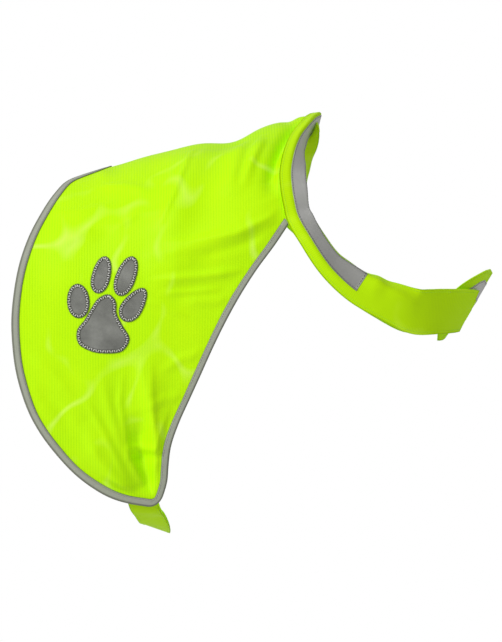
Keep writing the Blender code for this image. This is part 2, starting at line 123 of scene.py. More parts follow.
# the cut of the panel: rear x, rear g, front x, front g of its cross rows, back line to tip
cut = {
    "rows": (
        (-140, 0, 65.4, 0), (-142.5, 7, 64.3, 9), (-149, 16, 60.8, 20), (-161, 28, 53.8, 38),
        (-176, 43, 44.6, 62), (-188, 66, 37.3, 86), (-200, 92, 33.4, 108), (-212, 119, 34, 127),
        (-221, 146, 35.6, 147), (-226, 172, 36, 158.9), (-228.3, 197, 20, 178.5), (-227.5, 220, 2, 197.8),
        (-224.5, 245, -12, 215.7), (-219, 267, -25, 236), (-211, 288.7, -38, 259.5),
        (-200.7, 307.6, -49, 281.5), (-187, 327, -60, 303), (-170, 347, -71, 325),
        (-151, 364.2, -77.6, 343), (-131, 379, -80.2, 363), (-113, 389.0, -81.3, 377),
        (-103.0, 393.5, -83.4, 384)),
    "cornerRow": 9,
    "tipCentre": (-95.0, 385.55),
    "tipRadius": 10.5,
    "tipAngles": (114, 98, 82, 66, 50, 34, 18),
    "seam": ((59, 0), (57.8, 9), (54.4, 20), (48, 40), (36.5, 66), (29, 92), (26.2, 111), (27, 128),
             (31, 151.8)),
}


def halfOutline():
    cx, cg = cut["tipCentre"]
    rear = [(row[0], row[1]) for row in cut["rows"]]
    tip = [(cx + cut["tipRadius"] * math.cos(a), cg + cut["tipRadius"] * math.sin(a))
           for a in map(math.radians, cut["tipAngles"])]
    front = [(row[2], row[3]) for row in reversed(cut["rows"][cut["cornerRow"]:])]
    return rear, tip, front


def distanceTo(points, x, g):
    best = np.full(x.shape, 1e9)
    place = np.zeros(x.shape)
    points = np.asarray(points, float)
    lengths = chordLengths(points)
    for i in range(len(points) - 1):
        start, run = points[i], points[i + 1] - points[i]
        size = float(run @ run)
        t = np.clip(((x - start[0]) * run[0] + (g - start[1]) * run[1]) / size, 0, 1)
        d = np.hypot(x - start[0] - t * run[0], g - start[1] - t * run[1])
        closer = d < best
        best = np.where(closer, d, best)
        place = np.where(closer, (lengths[i] + t * math.sqrt(size)) / lengths[-1], place)
    return best, place


# folds: height (below zero is a trough), half width, then (x, g) points
folds = {
    "largeRight": (
        (-4.5, 22.0, (-12, -52), (-17, -18), (-19, 22), (-16, 66)),  # dips that cross the back line
        (-1.6, 7.0, (37, -38), (38, 0), (36, 42)),
        (1.4, 8.0, (-150, -30), (-146, 10), (-140, 60)),
        (-6.2, 7.5, (56, 12), (38, 49), (30, 71), (23, 95), (19, 113), (19, 134)),
        (2.0, 12.0, (-8, 40), (-14, 90), (-22, 120)),
        (3.0, 18.0, (-53, 35), (-68, 107), (-82, 150)),
        (2.6, 16.0, (20, 150), (-20, 160), (-62, 168), (-105, 170)),
        (-4.5, 13.0, (-95, 400), (-104, 351), (-111, 300)),
        (3.6, 14.0, (-113, 400), (-140, 335), (-160, 300)),
        (3.2, 12.0, (-86, 400), (-88, 340), (-98, 285), (-106, 250))),
    "largeLeft": (
        (-6.0, 7.5, (56, 12), (37, 50), (29, 72), (22, 96), (18, 112), (18, 131)),
        (3.2, 19.0, (-38, 40), (-58, 110), (-66, 158)),
        (2.8, 16.0, (18, 155), (-30, 170), (-90, 182)),
        (-4.2, 14.0, (-96, 400), (-100, 350), (-116, 295)),
        (3.4, 14.0, (-112, 400), (-134, 340), (-166, 290)),
        (2.8, 12.0, (-86, 400), (-86, 335), (-92, 270))),
    "fineRight": (
        (1.2, 3.0, (-54, 33), (-63, 73), (-73, 102), (-91, 138)),
        (1.1, 3.0, (14, 54), (5, 79), (-3, 98)),
        (1.1, 3.2, (34, 143), (11, 152), (-15, 157), (-59, 154), (-102, 145)),
        (1.0, 3.0, (-5, 193), (-49, 188), (-102, 179)),
        (0.9, 3.0, (-29, 206), (-59, 201), (-91, 194)),
        (0.8, 3.2, (-59, 226), (-88, 206), (-112, 194)),
        (1.0, 3.4, (-82, 343), (-102, 340), (-122, 332)),
        (-1.3, 5.0, (-80, 351), (-102, 349), (-119, 343)),
        (0.9, 3.2, (-122, 255), (-126, 287), (-117, 343), (-99, 384)),
        (0.8, 3.4, (-97, 256), (-95, 296), (-93, 335)),
        (0.8, 3.4, (-160, 276), (-141, 312), (-117, 368)),
        (0.7, 4.0, (-199, 94), (-165, 96), (-126, 92)),
        (0.7, 3.6, (-185, 133), (-151, 114), (-117, 117)),
        (0.7, 3.6, (-136, 125), (-107, 112), (-83, 116)),
        (1.3, 3.4, (19, 92), (24, 118), (34, 140)),
        (1.5, 5.5, (12, 42), (0, 84), (-9, 116)),
        (-1.2, 5.0, (2, 44), (-7, 84), (-13, 112)),
        (1.5, 6.0, (30, 152), (-10, 157), (-62, 159), (-106, 156)),
        (-1.1, 6.0, (22, 163), (-14, 168), (-60, 171)),
        (1.3, 6.0, (-6, 192), (-48, 190), (-96, 184)),
        (0.9, 5.0, (-15, 219), (-42, 214), (-68, 208)),
        (1.2, 5.0, (-96, 392), (-124, 329), (-138, 284), (-144, 252)),
        (1.4, 5.0, (-88, 388), (-92, 335), (-100, 290), (-106, 254)),
        (1.2, 5.0, (-106, 388), (-145, 340), (-160, 308)),
        (-1.2, 5.0, (-93, 390), (-104, 351), (-110, 311)),
        (0.9, 6.0, (-150, 60), (-120, 74), (-92, 96)),
        (0.9, 7.0, (-196, 132), (-170, 124), (-140, 122)),
        (0.8, 6.0, (-214, 232), (-190, 250), (-170, 276)),
        (-0.8, 6.0, (-206, 262), (-186, 282), (-170, 308)),
        (0.8, 5.0, (-36, 262), (-66, 262), (-90, 270)),
        (0.8, 5.0, (-58, 300), (-84, 296), (-104, 300))),
    "fineLeft": (
        (1.1, 3.0, (-48, 36), (-60, 80), (-78, 120)),
        (1.0, 3.0, (12, 58), (3, 84), (-8, 108)),
        (1.1, 3.2, (32, 146), (6, 154), (-30, 160), (-84, 158)),
        (0.9, 3.0, (-8, 190), (-56, 184), (-110, 186)),
        (0.8, 3.2, (-54, 230), (-90, 214), (-120, 206)),
        (-1.2, 5.0, (-82, 346), (-106, 344), (-124, 336)),
        (0.9, 3.2, (-126, 262), (-128, 300), (-112, 352)),
        (0.8, 3.4, (-164, 268), (-138, 318), (-116, 366)),
        (0.7, 4.0, (-196, 100), (-160, 104), (-124, 98)),
        (1.3, 4.0, (17, 94), (21, 112), (28, 134)),
        (1.3, 5.5, (8, 46), (-6, 86), (-12, 120)),
        (-1.1, 5.0, (-4, 50), (-14, 90), (-19, 118)),
        (1.4, 6.0, (28, 156), (-14, 163), (-66, 168), (-112, 174)),
        (1.2, 6.0, (-8, 196), (-52, 200), (-102, 202)),
        (0.9, 5.0, (-22, 230), (-50, 224), (-80, 226)),
        (1.2, 5.0, (-96, 392), (-118, 332), (-146, 276)),
        (1.3, 5.0, (-88, 388), (-90, 330), (-98, 282)),
        (-1.2, 5.0, (-94, 390), (-100, 348), (-114, 304)),
        (1.1, 5.0, (-108, 388), (-138, 346), (-166, 300)),
        (0.9, 6.0, (-156, 70), (-124, 86), (-100, 110)),
        (0.8, 7.0, (-192, 150), (-160, 146), (-128, 152)),
        (0.8, 6.0, (-216, 240), (-196, 262), (-178, 288)),
        (0.8, 5.0, (-40, 268), (-70, 272), (-96, 284))),
    "largeScale": 1.35,
    "fineScale": 1.7,
    "edgeCalm": 8.0,  # mm from the edge that stay flat, and over which folds then rise
    "seamEnd": 175.0,  # girth at which the neck seam stops
    "crests": (3.0, 9.0),  # distance from the seam and run-out of crests
    "troughs": (-1.0, 6.0),  # and of troughs, which run on to it
    "slow": (0.5, 0.35),  # slow unevenness of limp cloth, coarse and fine
    "pucker": 0.24,  # puckers where the neck seam gathers the cloth
    "puckerPitch": 9.0,
    "puckerReach": 16.0,
    "puckerEnd": 165.0,
}


def foldSum(names, x, g):
    total = np.zeros(x.shape)
    for name in names:
        sign = -1 if name.endswith("Right") else 1
        for height, half, *points in folds[name]:
            line = [(p[0], sign * p[1]) for p in points]
            lows, highs = np.min(line, axis=0) - 4 * half, np.max(line, axis=0) + 4 * half
            near = (x > lows[0]) & (x < highs[0]) & (g > lows[1]) & (g < highs[1])
            if not near.any():
                continue
            d, place = distanceTo(line, x[near], g[near])
            ends = np.clip(np.minimum(place, 1 - place) * 4, 0, 1)
            total[near] += height * np.exp(-(d / half) ** 2) * ends
    return total


def foldHeight(x, g):
    girth = np.abs(g)
    large = foldSum(("largeRight", "largeLeft"), x, g) * folds["largeScale"]
    fine = foldSum(("fineRight", "fineLeft"), x, g) * folds["fineScale"]
    rear, tip, front = halfOutline()
    edge = distanceTo(rear + tip + front, x, girth)[0]
    calm = easeIn((edge - folds["edgeCalm"]) / folds["edgeCalm"])
    seamX = np.interp(girth, [p[1] for p in cut["seam"]], [p[0] for p in cut["seam"]])
    crests, troughs = (np.where(girth < folds["seamEnd"], easeIn((seamX - gap - x) / run), 1.0)
                       for gap, run in (folds["crests"], folds["troughs"]))
    coarse, finer = folds["slow"]
    slow = coarse * np.sin(x / 23.0 + 0.6 * np.sin(g / 31.0)) * np.sin(g / 37.0 + 0.8)
    slow = slow + finer * np.sin(x / 11.0 + g / 19.0) * np.sin(g / 13.0 - x / 29.0)
    behind = np.clip((seamX - x) / folds["puckerReach"], 0, 4)
    pucker = np.sin(girth * 2 * math.pi / folds["puckerPitch"] + 1.3 * np.sin(girth / 17))
    pucker = folds["pucker"] * pucker * behind * np.exp(-behind * 1.6) * 2.2 * (girth < folds["puckerEnd"])
    large = large * np.where(large < 0, troughs, crests)
    return large * calm + (fine + slow) * (0.35 + 0.65 * calm) * crests + pucker


def cloth(x, g):
    x, g = np.broadcast_arrays(np.asarray(x, float), np.asarray(g, float))
    return trunk(x, g) + outward(trunk, x, g) * foldHeight(x, g)[..., None]


def liftedCloth(x, g, height):
    x, g = np.broadcast_arrays(np.asarray(x, float), np.asarray(g, float))
    return cloth(x, g) + outward(cloth, x, g) * np.broadcast_to(height, x.shape)[..., None]


def evenOut(rows, times):  # in place, ends kept
    for k in range(times):
        rows[1:-1] = (rows[:-2] + 2 * rows[1:-1] + rows[2:]) / 4


def gridNormals(points):
    return unit(np.cross(np.gradient(points, axis=0), np.gradient(points, axis=1)))


def gridUv(along, across):
    return np.stack(np.broadcast_arrays(along[:, None], across[None, :]), axis=-1)


def linked(name, data):
    thing = bpy.data.objects.new(name, data)
    bpy.context.scene.collection.objects.link(thing)
    return thing


def finishMesh(name, points, faces, uv, material):
    quads = np.asarray(faces)
    a, b, c, d = (points[quads[:, k]] for k in range(4))
    if np.sum(a * np.cross(b, c)) + np.sum(a * np.cross(c, d)) < 0:  # faces point outwards
        quads = quads[:, ::-1]
    mesh = bpy.data.meshes.new(name)
    # a corner named twice leaves a triangle
    mesh.from_pydata((points * mm).tolist(), [], [list(dict.fromkeys(quad)) for quad in quads.tolist()])
    layer = mesh.uv_layers.new(name="cloth")
    index = np.zeros(len(mesh.loops), int)
    mesh.loops.foreach_get("vertex_index", index)
    layer.data.foreach_set("uv", (np.asarray(uv, float)[index] * mm).ravel())
    mesh.polygons.foreach_set("use_smooth", np.ones(len(mesh.polygons), bool))
    mesh.materials.append(material)
    return linked(name, mesh)


def sheetObject(name, points, normals, low, high, uv, material, bulge=0.35):
    # thin closed shell between two heights over a grid, with a rounded rim
    rows, columns = points.shape[:2]
    count = rows * columns
    flatPoints, flatNormals = points.reshape(-1, 3), normals.reshape(-1, 3)
    grid = np.arange(count).reshape(rows, columns)
    a, b, c, d = grid[:-1, :-1].ravel(), grid[:-1, 1:].ravel(), grid[1:, 1:].ravel(), grid[1:, :-1].ravel()
    top = np.stack([a, b, c, d], axis=1)
    bottom = np.stack([a, d, c, b], axis=1) + count
    rim = np.concatenate([grid[0, :], grid[1:, -1], grid[-1, -2::-1], grid[-2:0:-1, 0]])
    inner = np.concatenate([grid[1, :], grid[1:, -2], grid[-2, -2::-1], grid[-2:0:-1, 1]])
    middle = (flatPoints[rim] + flatNormals[rim] * (low + high) / 2
              + unit(flatPoints[rim] - flatPoints[inner]) * (high - low) * bulge)
    after = np.roll(rim, -1)
    ring = np.arange(len(rim)) + 2 * count
    ringAfter = np.roll(ring, -1)
    sides = np.concatenate([np.stack([rim, ring, ringAfter, after], axis=1),
                            np.stack([ring, rim + count, after + count, ringAfter], axis=1)])
    allPoints = np.concatenate([flatPoints + flatNormals * high, flatPoints + flatNormals * low, middle])
    flatUv = np.asarray(uv, float).reshape(-1, 2)
    return finishMesh(name, allPoints, np.concatenate([top, bottom, sides[:, ::-1]]),
                      np.concatenate([flatUv, flatUv, flatUv[rim]]), material)


class Value:  # a shader socket on which maths is written as an expression
    def __init__(self, graph, socket):
        self.graph, self.socket = graph, socket

    def maths(self, operation, *parts):
        return self.graph.node("ShaderNodeMath", {"operation": operation}, dict(enumerate(parts)))

    def __add__(self, other): return self.maths("ADD", self, other)
    def __radd__(self, other): return self.maths("ADD", other, self)
    def __sub__(self, other): return self.maths("SUBTRACT", self, other)
    def __rsub__(self, other): return self.maths("SUBTRACT", other, self)
    def __mul__(self, other): return self.maths("MULTIPLY", self, other)
    def __rmul__(self, other): return self.maths("MULTIPLY", other, self)
    def sin(self): return self.maths("SINE", self)
    def abs(self): return self.maths("ABSOLUTE", self)
    def power(self, other): return self.maths("POWER", self, other)
    def clamp(self): return self.graph.node("ShaderNodeClamp", {}, {"Value": self})
    def wave(self, pitch): return (self * (2 * math.pi / pitch)).sin()


class Graph:  # one material and its nodes
    def __init__(self, name):
        self.material = bpy.data.materials.new(name)
        self.material.use_nodes = True
        self.tree = self.material.node_tree
        self.shader = self.tree.nodes["Principled BSDF"]

    def node(self, kind, settings, inputs, output=0):
        made = self.tree.nodes.new(kind)
        for key, value in settings.items():
            setattr(made, key, value)
        for key, value in inputs.items():
            self.put(made.inputs[key], value)
        return Value(self, made.outputs[output])

    def put(self, socket, value):
        if isinstance(value, Value):
            self.tree.links.new(value.socket, socket)
        else:
            socket.default_value = value

    def shade(self, **inputs):
        for key, value in inputs.items():
            self.put(self.shader.inputs[key.replace("_", " ")], value)

    def object(self):
        return self.node("ShaderNodeTexCoord", {}, {}, "Object")

    def clothUv(self):
        uv = self.node("ShaderNodeUVMap", {"uv_map": "cloth"}, {})
        along = self.node("ShaderNodeSeparateXYZ", {}, {0: uv})
        return uv, along, Value(self, along.socket.node.outputs[1])

    def noise(self, where, scale, detail=2.0, roughness=0.5):
        inputs = {"Vector": where, "Scale": scale, "Detail": detail, "Roughness": roughness}
        return self.node("ShaderNodeTexNoise", {}, inputs, "Fac")

    def mix(self, factor, one, two):
        return self.node("ShaderNodeMix", {"data_type": "RGBA"}, {0: factor, 6: one, 7: two}, 2)

    def bump(self, height, distance, strength):
        return self.node("ShaderNodeBump", {}, {"Height": height, "Distance": distance, "Strength": strength})


def colour(seen):  # 0 to 255 as seen, to linear
    return tuple(c / 255 / 12.92 if c <= 10 else ((c / 255 + 0.055) / 1.055) ** 2.4 for c in seen) + (1.0,)


knit = {
    "ribPitch": 2.6,  # mm between wales
    "narrowRibPitch": 1.9,  # on the band and the strap
    "coursePitch": 1.6,
    "ribDepth": 0.16,
    # emission strengths: a painted glow that stands in for fluorescence and brightens the knit whatever the
    # lamps
    "paintedGlow": 0.10,
    "bandPaintedGlow": 0.08,
    "strapPaintedGlow": 0.03,
}


def knitFabric(name, paintedGlow, ribPitch, *shades):
    # fluorescent warp knit: fine wales with tiny eyelets, slow cloudiness, pale streaks of painted sheen
    # highlight, and a painted glow from emission
    light, dark, paintedSheen = map(colour, shades)
    graph = Graph(name)
    uv, u, v = graph.clothUv()
    wander = graph.noise(uv, 14.0, 2.0) * 0.0022
    loops = (u + wander).wave(ribPitch * mm) * 0.5 + 0.5
    eyelets = (loops * (v.wave(knit["coursePitch"] * mm) * 0.5 + 0.5)).power(3.0)
    cloud = graph.noise(uv, 9.0, 3.0, 0.6)
    fibre = graph.noise(graph.object(), 900.0, 3.0, 0.65)
    tone = (cloud * 0.55 - 0.1 + fibre * 0.14 + eyelets * 0.25 + loops * loops * cloud * 0.38).clamp()
    # pale streaks where the noise is ridged: painted sheen highlight, as if light caught the crinkled ridges
    sheenStreaks = (1 - (graph.noise(uv, 12.0, 1.0) - 0.5).abs() * 34.0).clamp()
    sheenStreaks = sheenStreaks * ((graph.noise(uv, 19.0, 2.0) - 0.44) * 5.0).clamp() * 0.5
    base = graph.mix(sheenStreaks, graph.mix(tone, light, dark), paintedSheen)
    height = loops * 0.55 - eyelets * 0.7 + fibre * 0.35
    # the emission makes the knit glow by itself: painted glow
    graph.shade(Base_Color=base, Roughness=0.44 + fibre * 0.16, Specular_IOR_Level=0.12,
                Normal=graph.bump(height, knit["ribDepth"] * mm, 0.7),
                Emission_Color=base, Emission_Strength=paintedGlow)
    return graph.material


reflective = {
    "weave": 0.45,  # mm between threads
    "shadeFrom": 265.0,  # mm along the band, from where painted shade makes the tape darker towards its near end
    "shadeGain": 11.0,
}


def tapeFabric(name, *shades):
    # glass-bead reflective cloth: smooth grey over a fine plain weave, scuffed, and darkened by painted shade
    # towards its near end
    light, dark, shadedGrey = map(colour, shades)
    graph = Graph(name)
    uv, u, v = graph.clothUv()
    weave = u.wave(reflective["weave"] * mm) * v.wave(reflective["weave"] * mm)
    beads = graph.noise(graph.object(), 1900.0, 2.0, 0.7)
    scuffs = graph.noise(uv, 60.0, 5.0, 0.7)
    cloud = graph.noise(uv, 13.0, 3.0, 0.55)
    tone = (cloud * 0.9 + (scuffs - 0.5) * 0.7 + (beads - 0.5) * 0.5).clamp()
    # painted shade: darker towards the tape's near end, where it turns down under the chest
    shadeTowardsEnd = ((reflective["shadeFrom"] * mm - u) * reflective["shadeGain"]).clamp() * (cloud * 0.5 + 0.65)
    graph.shade(Base_Color=graph.mix(shadeTowardsEnd.clamp(), graph.mix(tone, dark, light), shadedGrey),
                Roughness=0.46 + scuffs * 0.22, Metallic=0.12, Sheen_Weight=0.08, Specular_IOR_Level=0.4,
                Normal=graph.bump(weave * 0.3 + beads * 0.6 + scuffs * 1.2, 0.12 * mm, 0.6))
    return graph.material


ribbon = {
    "rib": 1.1,  # mm between ribs
    "foldShadeTo": 1.9,  # mm from the edge that painted shade darkens on the fold
    "selvedgeShadowFrom": 6.1,
}


def bindingFabric(name, *shades):
    # woven grosgrain binding: ribs across its length, with painted shade along the fold where it turns away
    # and a painted shadow line along the inner selvedge
    light, dark, bindingShade = map(colour, shades)
    graph = Graph(name)
    uv, u, v = graph.clothUv()
    rib = u.wave(ribbon["rib"] * mm) * 0.5 + 0.5
    fibre = graph.noise(graph.object(), 1100.0, 3.0, 0.65)
    cloud = graph.noise(uv, 22.0, 3.0, 0.6)
    tone = (rib * 0.35 + cloud * 0.45 + fibre * 0.3 - 0.05).clamp()
    # painted shade on the fold and a painted shadow line along the selvedge darken the binding
    fold = ((ribbon["foldShadeTo"] * mm - v) * 900.0).clamp()
    selvedgeShadow = ((v - ribbon["selvedgeShadowFrom"] * mm) * 1500.0).clamp()
    edgeShade = (fold * 0.8 + selvedgeShadow).clamp()
    graph.shade(Base_Color=graph.mix(edgeShade, graph.mix(tone, dark, light), bindingShade),
                Roughness=0.6 + fibre * 0.22, Sheen_Weight=0.15, Sheen_Roughness=0.5, Specular_IOR_Level=0.3,
                Normal=graph.bump(rib * 0.8 + fibre * 0.4, 0.18 * mm, 0.7))
    return graph.material


def patchFabric(name, *shades, twillPitch=0.9):
    # brushed grey reflective patch: fine diagonal twill with darker rubbed places
    light, dark = map(colour, shades)
    graph = Graph(name)
    uv, u, v = graph.clothUv()
    twill = (u + v).wave(twillPitch * mm) * 0.5 + 0.5
    fibre = graph.noise(graph.object(), 1500.0, 3.0, 0.7)
    cloud = graph.noise(uv, 45.0, 4.0, 0.6)
    tone = (twill * 0.2 + (cloud - 0.5) * 1.6 + 0.4 + fibre * 0.2).clamp()
    graph.shade(Base_Color=graph.mix(tone, dark, light), Roughness=0.55 + fibre * 0.2,
                Sheen_Weight=0.1, Specular_IOR_Level=0.35,
                Normal=graph.bump(twill * 0.5 + fibre * 0.6, 0.14 * mm, 0.7))
    return graph.material


def threadFinish(name, *shades, paintedGlow=0.0):
    light, dark = map(colour, shades)
    graph = Graph(name)
    ply = graph.noise(graph.object(), 2600.0, 2.0, 0.6)
    base = graph.mix(ply, dark, light)
    graph.shade(Base_Color=base, Roughness=0.45 + ply * 0.2, Normal=graph.bump(ply, 0.05 * mm, 0.5),
                Sheen_Weight=0.2)
    # a painted glow from emission, for thread that should look fluorescent
    if paintedGlow:
        graph.shade(Emission_Color=base, Emission_Strength=paintedGlow)
    return graph.material


finishes = {
    # the third knit shade is the colour of the painted sheen streaks
    "cloth": knitFabric("hiVisKnit", knit["paintedGlow"], knit["ribPitch"],
                        (202, 253, 0), (150, 226, 0), (222, 255, 110)),
    "band": knitFabric("hiVisBandKnit", knit["bandPaintedGlow"], knit["narrowRibPitch"],
                       (203, 252, 0), (164, 216, 0), (212, 252, 60)),
    "strap": knitFabric("hiVisStrapKnit", knit["strapPaintedGlow"], knit["narrowRibPitch"],
                        (198, 246, 0), (160, 208, 0), (208, 248, 60)),
    "tape": tapeFabric("reflectiveTapeCloth", (230, 230, 226), (196, 196, 192), (146, 146, 142)),
    "binding": bindingFabric("greyBindingRib", (186, 190, 174), (145, 149, 134), (104, 106, 92)),
    "patch": patchFabric("greyPatchTwill", (144, 145, 139), (82, 83, 78)),
    "greyThread": threadFinish("greyThread", (168, 168, 160), (112, 112, 106)),
    "paleThread": threadFinish("paleThread", (236, 236, 232), (196, 196, 190)),
    "darkThread": threadFinish("darkThread", (84, 84, 76), (40, 40, 34)),
    "neonThread": threadFinish("neonThread", (196, 246, 20), (160, 220, 0), paintedGlow=0.04),
}
print("materials made")


def stitchTree(name, material):
    # raised stitches spaced along each edge path of a mesh that carries its own up direction
    tree = bpy.data.node_groups.new(name, "GeometryNodeTree")
    face = tree.interface
    face.new_socket("Geometry", in_out="INPUT", socket_type="NodeSocketGeometry")
    for label, value in (("Pitch", 3.0 * mm), ("Length", 2.2 * mm), ("Thread Radius", 0.25 * mm),
                         ("Arch", 0.3 * mm), ("Lean", 0.0), ("Zigzag", 0.0), ("Uneven", 0.05)):
        face.new_socket(label, in_out="INPUT", socket_type="NodeSocketFloat").default_value = value
    face.new_socket("Seed", in_out="INPUT", socket_type="NodeSocketInt").default_value = 7
    face.new_socket("Geometry", in_out="OUTPUT", socket_type="NodeSocketGeometry")

    def add(kind, inputs=(), output=0, **settings):
        made = tree.nodes.new(kind)
        for key, value in settings.items():
            setattr(made, key, value)
        for key, value in dict(inputs).items():
            if isinstance(value, bpy.types.NodeSocket):
                tree.links.new(value, made.inputs[key])
            else:
                made.inputs[key].default_value = value
        return made.outputs[output]

    def calc(operation, *parts):
        return add("ShaderNodeMath", dict(enumerate(parts)), operation=operation)

    def vector(**parts):
        return add("ShaderNodeCombineXYZ", parts)

    given = tree.nodes.new("NodeGroupInput").outputs
    half = calc("MULTIPLY", given["Length"], 0.5)
    arch = add("GeometryNodeCurveQuadraticBezier", {
        "Resolution": 4, "Start": vector(X=calc("MULTIPLY", half, -1.0)),
        "Middle": vector(Z=given["Arch"]), "End": vector(X=half)})
    ring = add("GeometryNodeCurvePrimitiveCircle", {"Resolution": 6, "Radius": given["Thread Radius"]})
    stitch = add("GeometryNodeCurveToMesh", {"Curve": arch, "Profile Curve": ring, "Fill Caps": True})
    curve = add("GeometryNodeMeshToCurve", {0: given["Geometry"]})
    even = add("GeometryNodeResampleCurve", {"Curve": curve, "Length": given["Pitch"]}, mode="LENGTH")
    up = add("GeometryNodeInputNamedAttribute", {"Name": "up"}, data_type="FLOAT_VECTOR")
    stand = add("FunctionNodeAlignRotationToVector", {"Vector": up}, axis="Z")
    tangent = add("GeometryNodeInputTangent")
    turn = add("FunctionNodeAlignRotationToVector", {"Rotation": stand, "Vector": tangent},
               axis="X", pivot_axis="Z")
    odd = calc("MODULO", add("GeometryNodeInputIndex"), 2.0)
    zigzag = calc("MULTIPLY_ADD", calc("MULTIPLY_ADD", odd, 2.0, -1.0), given["Zigzag"], given["Lean"])
    less = calc("MULTIPLY", given["Uneven"], -1.0)
    chance = add("FunctionNodeRandomValue", {2: less, 3: given["Uneven"], "Seed": given["Seed"]}, 1)
    spin = add("FunctionNodeEulerToRotation", {0: vector(Z=calc("ADD", zigzag, chance))})
    lean = add("FunctionNodeRotateRotation", {"Rotation": turn, "Rotate By": spin}, rotation_space="LOCAL")
    placed = add("GeometryNodeInstanceOnPoints", {"Points": even, "Instance": stitch, "Rotation": lean})
    real = add("GeometryNodeRealizeInstances", {0: placed})
    smooth = add("GeometryNodeSetShadeSmooth", {0: real})
    painted = add("GeometryNodeSetMaterial", {0: smooth, "Material": material})
    tree.links.new(painted, tree.nodes.new("NodeGroupOutput").inputs[0])
    return tree


def stitches(name, lines, material, sizes):
    # lines: list of (points, ups); each becomes one stitched row
    points, ups = (np.concatenate([line[k] for line in lines]) for k in (0, 1))
    edges, first = [], 0
    for line, up in lines:
        edges += [(first + i, first + i + 1) for i in range(len(line) - 1)]
        first += len(line)
    mesh = bpy.data.meshes.new(name + "Path")
    mesh.from_pydata((points * mm).tolist(), edges, [])
    mesh.attributes.new("up", "FLOAT_VECTOR", "POINT").data.foreach_set("vector", ups.ravel())
    path = linked(name + "Path", mesh)
    tree = stitchTree(name + "Tree", material)
    modifier = path.modifiers.new("stitches", "NODES")
    modifier.node_group = tree
    for item in tree.interface.items_tree:
        if item.in_out == "INPUT" and item.name in sizes:
            modifier[item.identifier] = sizes[item.name]
    made = bpy.data.meshes.new_from_object(path.evaluated_get(bpy.context.evaluated_depsgraph_get()))
    path.modifiers.remove(modifier)
    bpy.data.objects.remove(path, do_unlink=True)
    made.name = name
    return linked(name, made)


# back panel: one knit piece that lies over the back and hangs down as two wings
panel = {
    "node": "back_panel",
    "wall": 0.9,
    "inset": 1.3,
    "rows": 190,
    "columns": 104,
    "packing": 1.1,  # above 1 sets the columns closer towards the front
    "finePoints": 1600,
    # degrees around the tip's centre at which its last rows start and end
    "tipRows": ((108, 22), (102, 28), (96, 34), (90, 40), (84, 46), (78, 52), (71, 59)),
    "cut": (0.300, 0.790),  # m, the rectangle that the cut fits in
    "area": 0.150,
}


def inset(line, point):
    i = int(np.argmin(np.linalg.norm(line - point, axis=1)))
    run = unit(line[min(i + 2, len(line) - 1)] - line[max(i - 2, 0)])
    return line[i] + np.array([run[1], -run[0]]) * panel["inset"]


def panelRows():
    table = np.array(cut["rows"], float)
    corner = cut["cornerRow"] + 1
    rear, tip, front = halfOutline()
    rearLine = smoothPath(rear + tip[:2], panel["finePoints"])
    frontLine = smoothPath(tip[-3:] + front, panel["finePoints"])
    rearLine[0, 1] = 0.0
    keys = chordLengths((table[:, :2] + table[:, 2:]) / 2)
    rows = []
    for s in np.linspace(0, keys[-1], panel["rows"]):
        if s < keys[corner - 1]:  # beside the neck seam
            end = lineThrough(keys[:corner], table[:corner, 2:], s)
        else:
            end = inset(frontLine, curveThrough(keys, table[:, 2:], s))
        rows.append((inset(rearLine, curveThrough(keys, table[:, :2], s)), end))
    reach = cut["tipRadius"] - panel["inset"]
    for pair in panel["tipRows"]:
        rows.append(tuple(np.array(cut["tipCentre"]) + reach * np.array([math.cos(t), math.sin(t)])
                          for t in map(math.radians, pair)))
    rows[0][0][1] = rows[0][1][1] = 0.0
    return rows


def backPanel():
    spread = 1 - (1 - np.linspace(0, 1, panel["columns"])[:, None]) ** panel["packing"]
    left = np.array([rear + (front - rear) * spread for rear, front in panelRows()])
    flat = np.concatenate([left[1:][::-1] * np.array([1, -1]), left])
    x, g = flat[..., 0], flat[..., 1]
    return sheetObject("backCloth", cloth(x, g), outward(cloth, x, g), -panel["wall"] / 2, panel["wall"] / 2,
                       flat, finishes["cloth"])


backCloth = backPanel()
print("back cloth", len(backCloth.data.polygons) * 2, "triangles")

# grey binding folded over the whole free edge
binding = {
    "node": "edge_binding",
    "width": 6.8,
    "wall": 0.55,
    "gap": 0.25,
    "start": 0.02,  # share of the first step that the neck seam covers
    "step": 2.4,
    "tipLength": 16.0,
    "uneven": 0.25,
    "puff": 0.12,  # little ripples between the stitches
    "outerFlap": (1.0, 0.62, 0.34),  # shares of the width, from the selvedge to the fold
    "innerFlap": (1.0, 0.6, 0.3),
    "foldPoints": 9,
    "cut": (0.016, 1.46),
    "stitchIn": 5.5,  # mm from the edge
    "stitchStep": 1.2,
}


def bindingPath(step):
    rear, tip, front = halfOutline()
    corner, after = np.array(front[-1]), np.array(front[-2])
    front = front[:-1] + [tuple(corner + (after - corner) * binding["start"])]
    rearPath = smoothPath(rear + tip[:1], int(chordLengths(rear)[-1] / step))
    frontPath = smoothPath(tip[-1:] + front, int(chordLengths(front)[-1] / step))
    tipPath = smoothPath(tip, int(binding["tipLength"] / step) + 8)[1:-1]
    right = np.concatenate([rearPath, tipPath, frontPath])
    right[0, 1] = 0.0
    both = np.concatenate([right[1:][::-1] * np.array([1, -1]), right])
    both[:, 1] *= -1
    evenOut(both, 3)  # the joints of the three runs
    return both


def inwardOf(path):
    tangent = unit(np.gradient(path, axis=0))
    inward = np.stack([tangent[:, 1], -tangent[:, 0]], axis=1)
    return inward if inward[len(path) // 2, 0] > 0 else -inward


def flap(shares, height):  # share of the width, height, on a flap or not
    return [(share, height, True) for share in shares]


def fold(start, reach, height, angles):
    return [(start - reach * math.cos(t), height * math.sin(t), False) for t in angles]


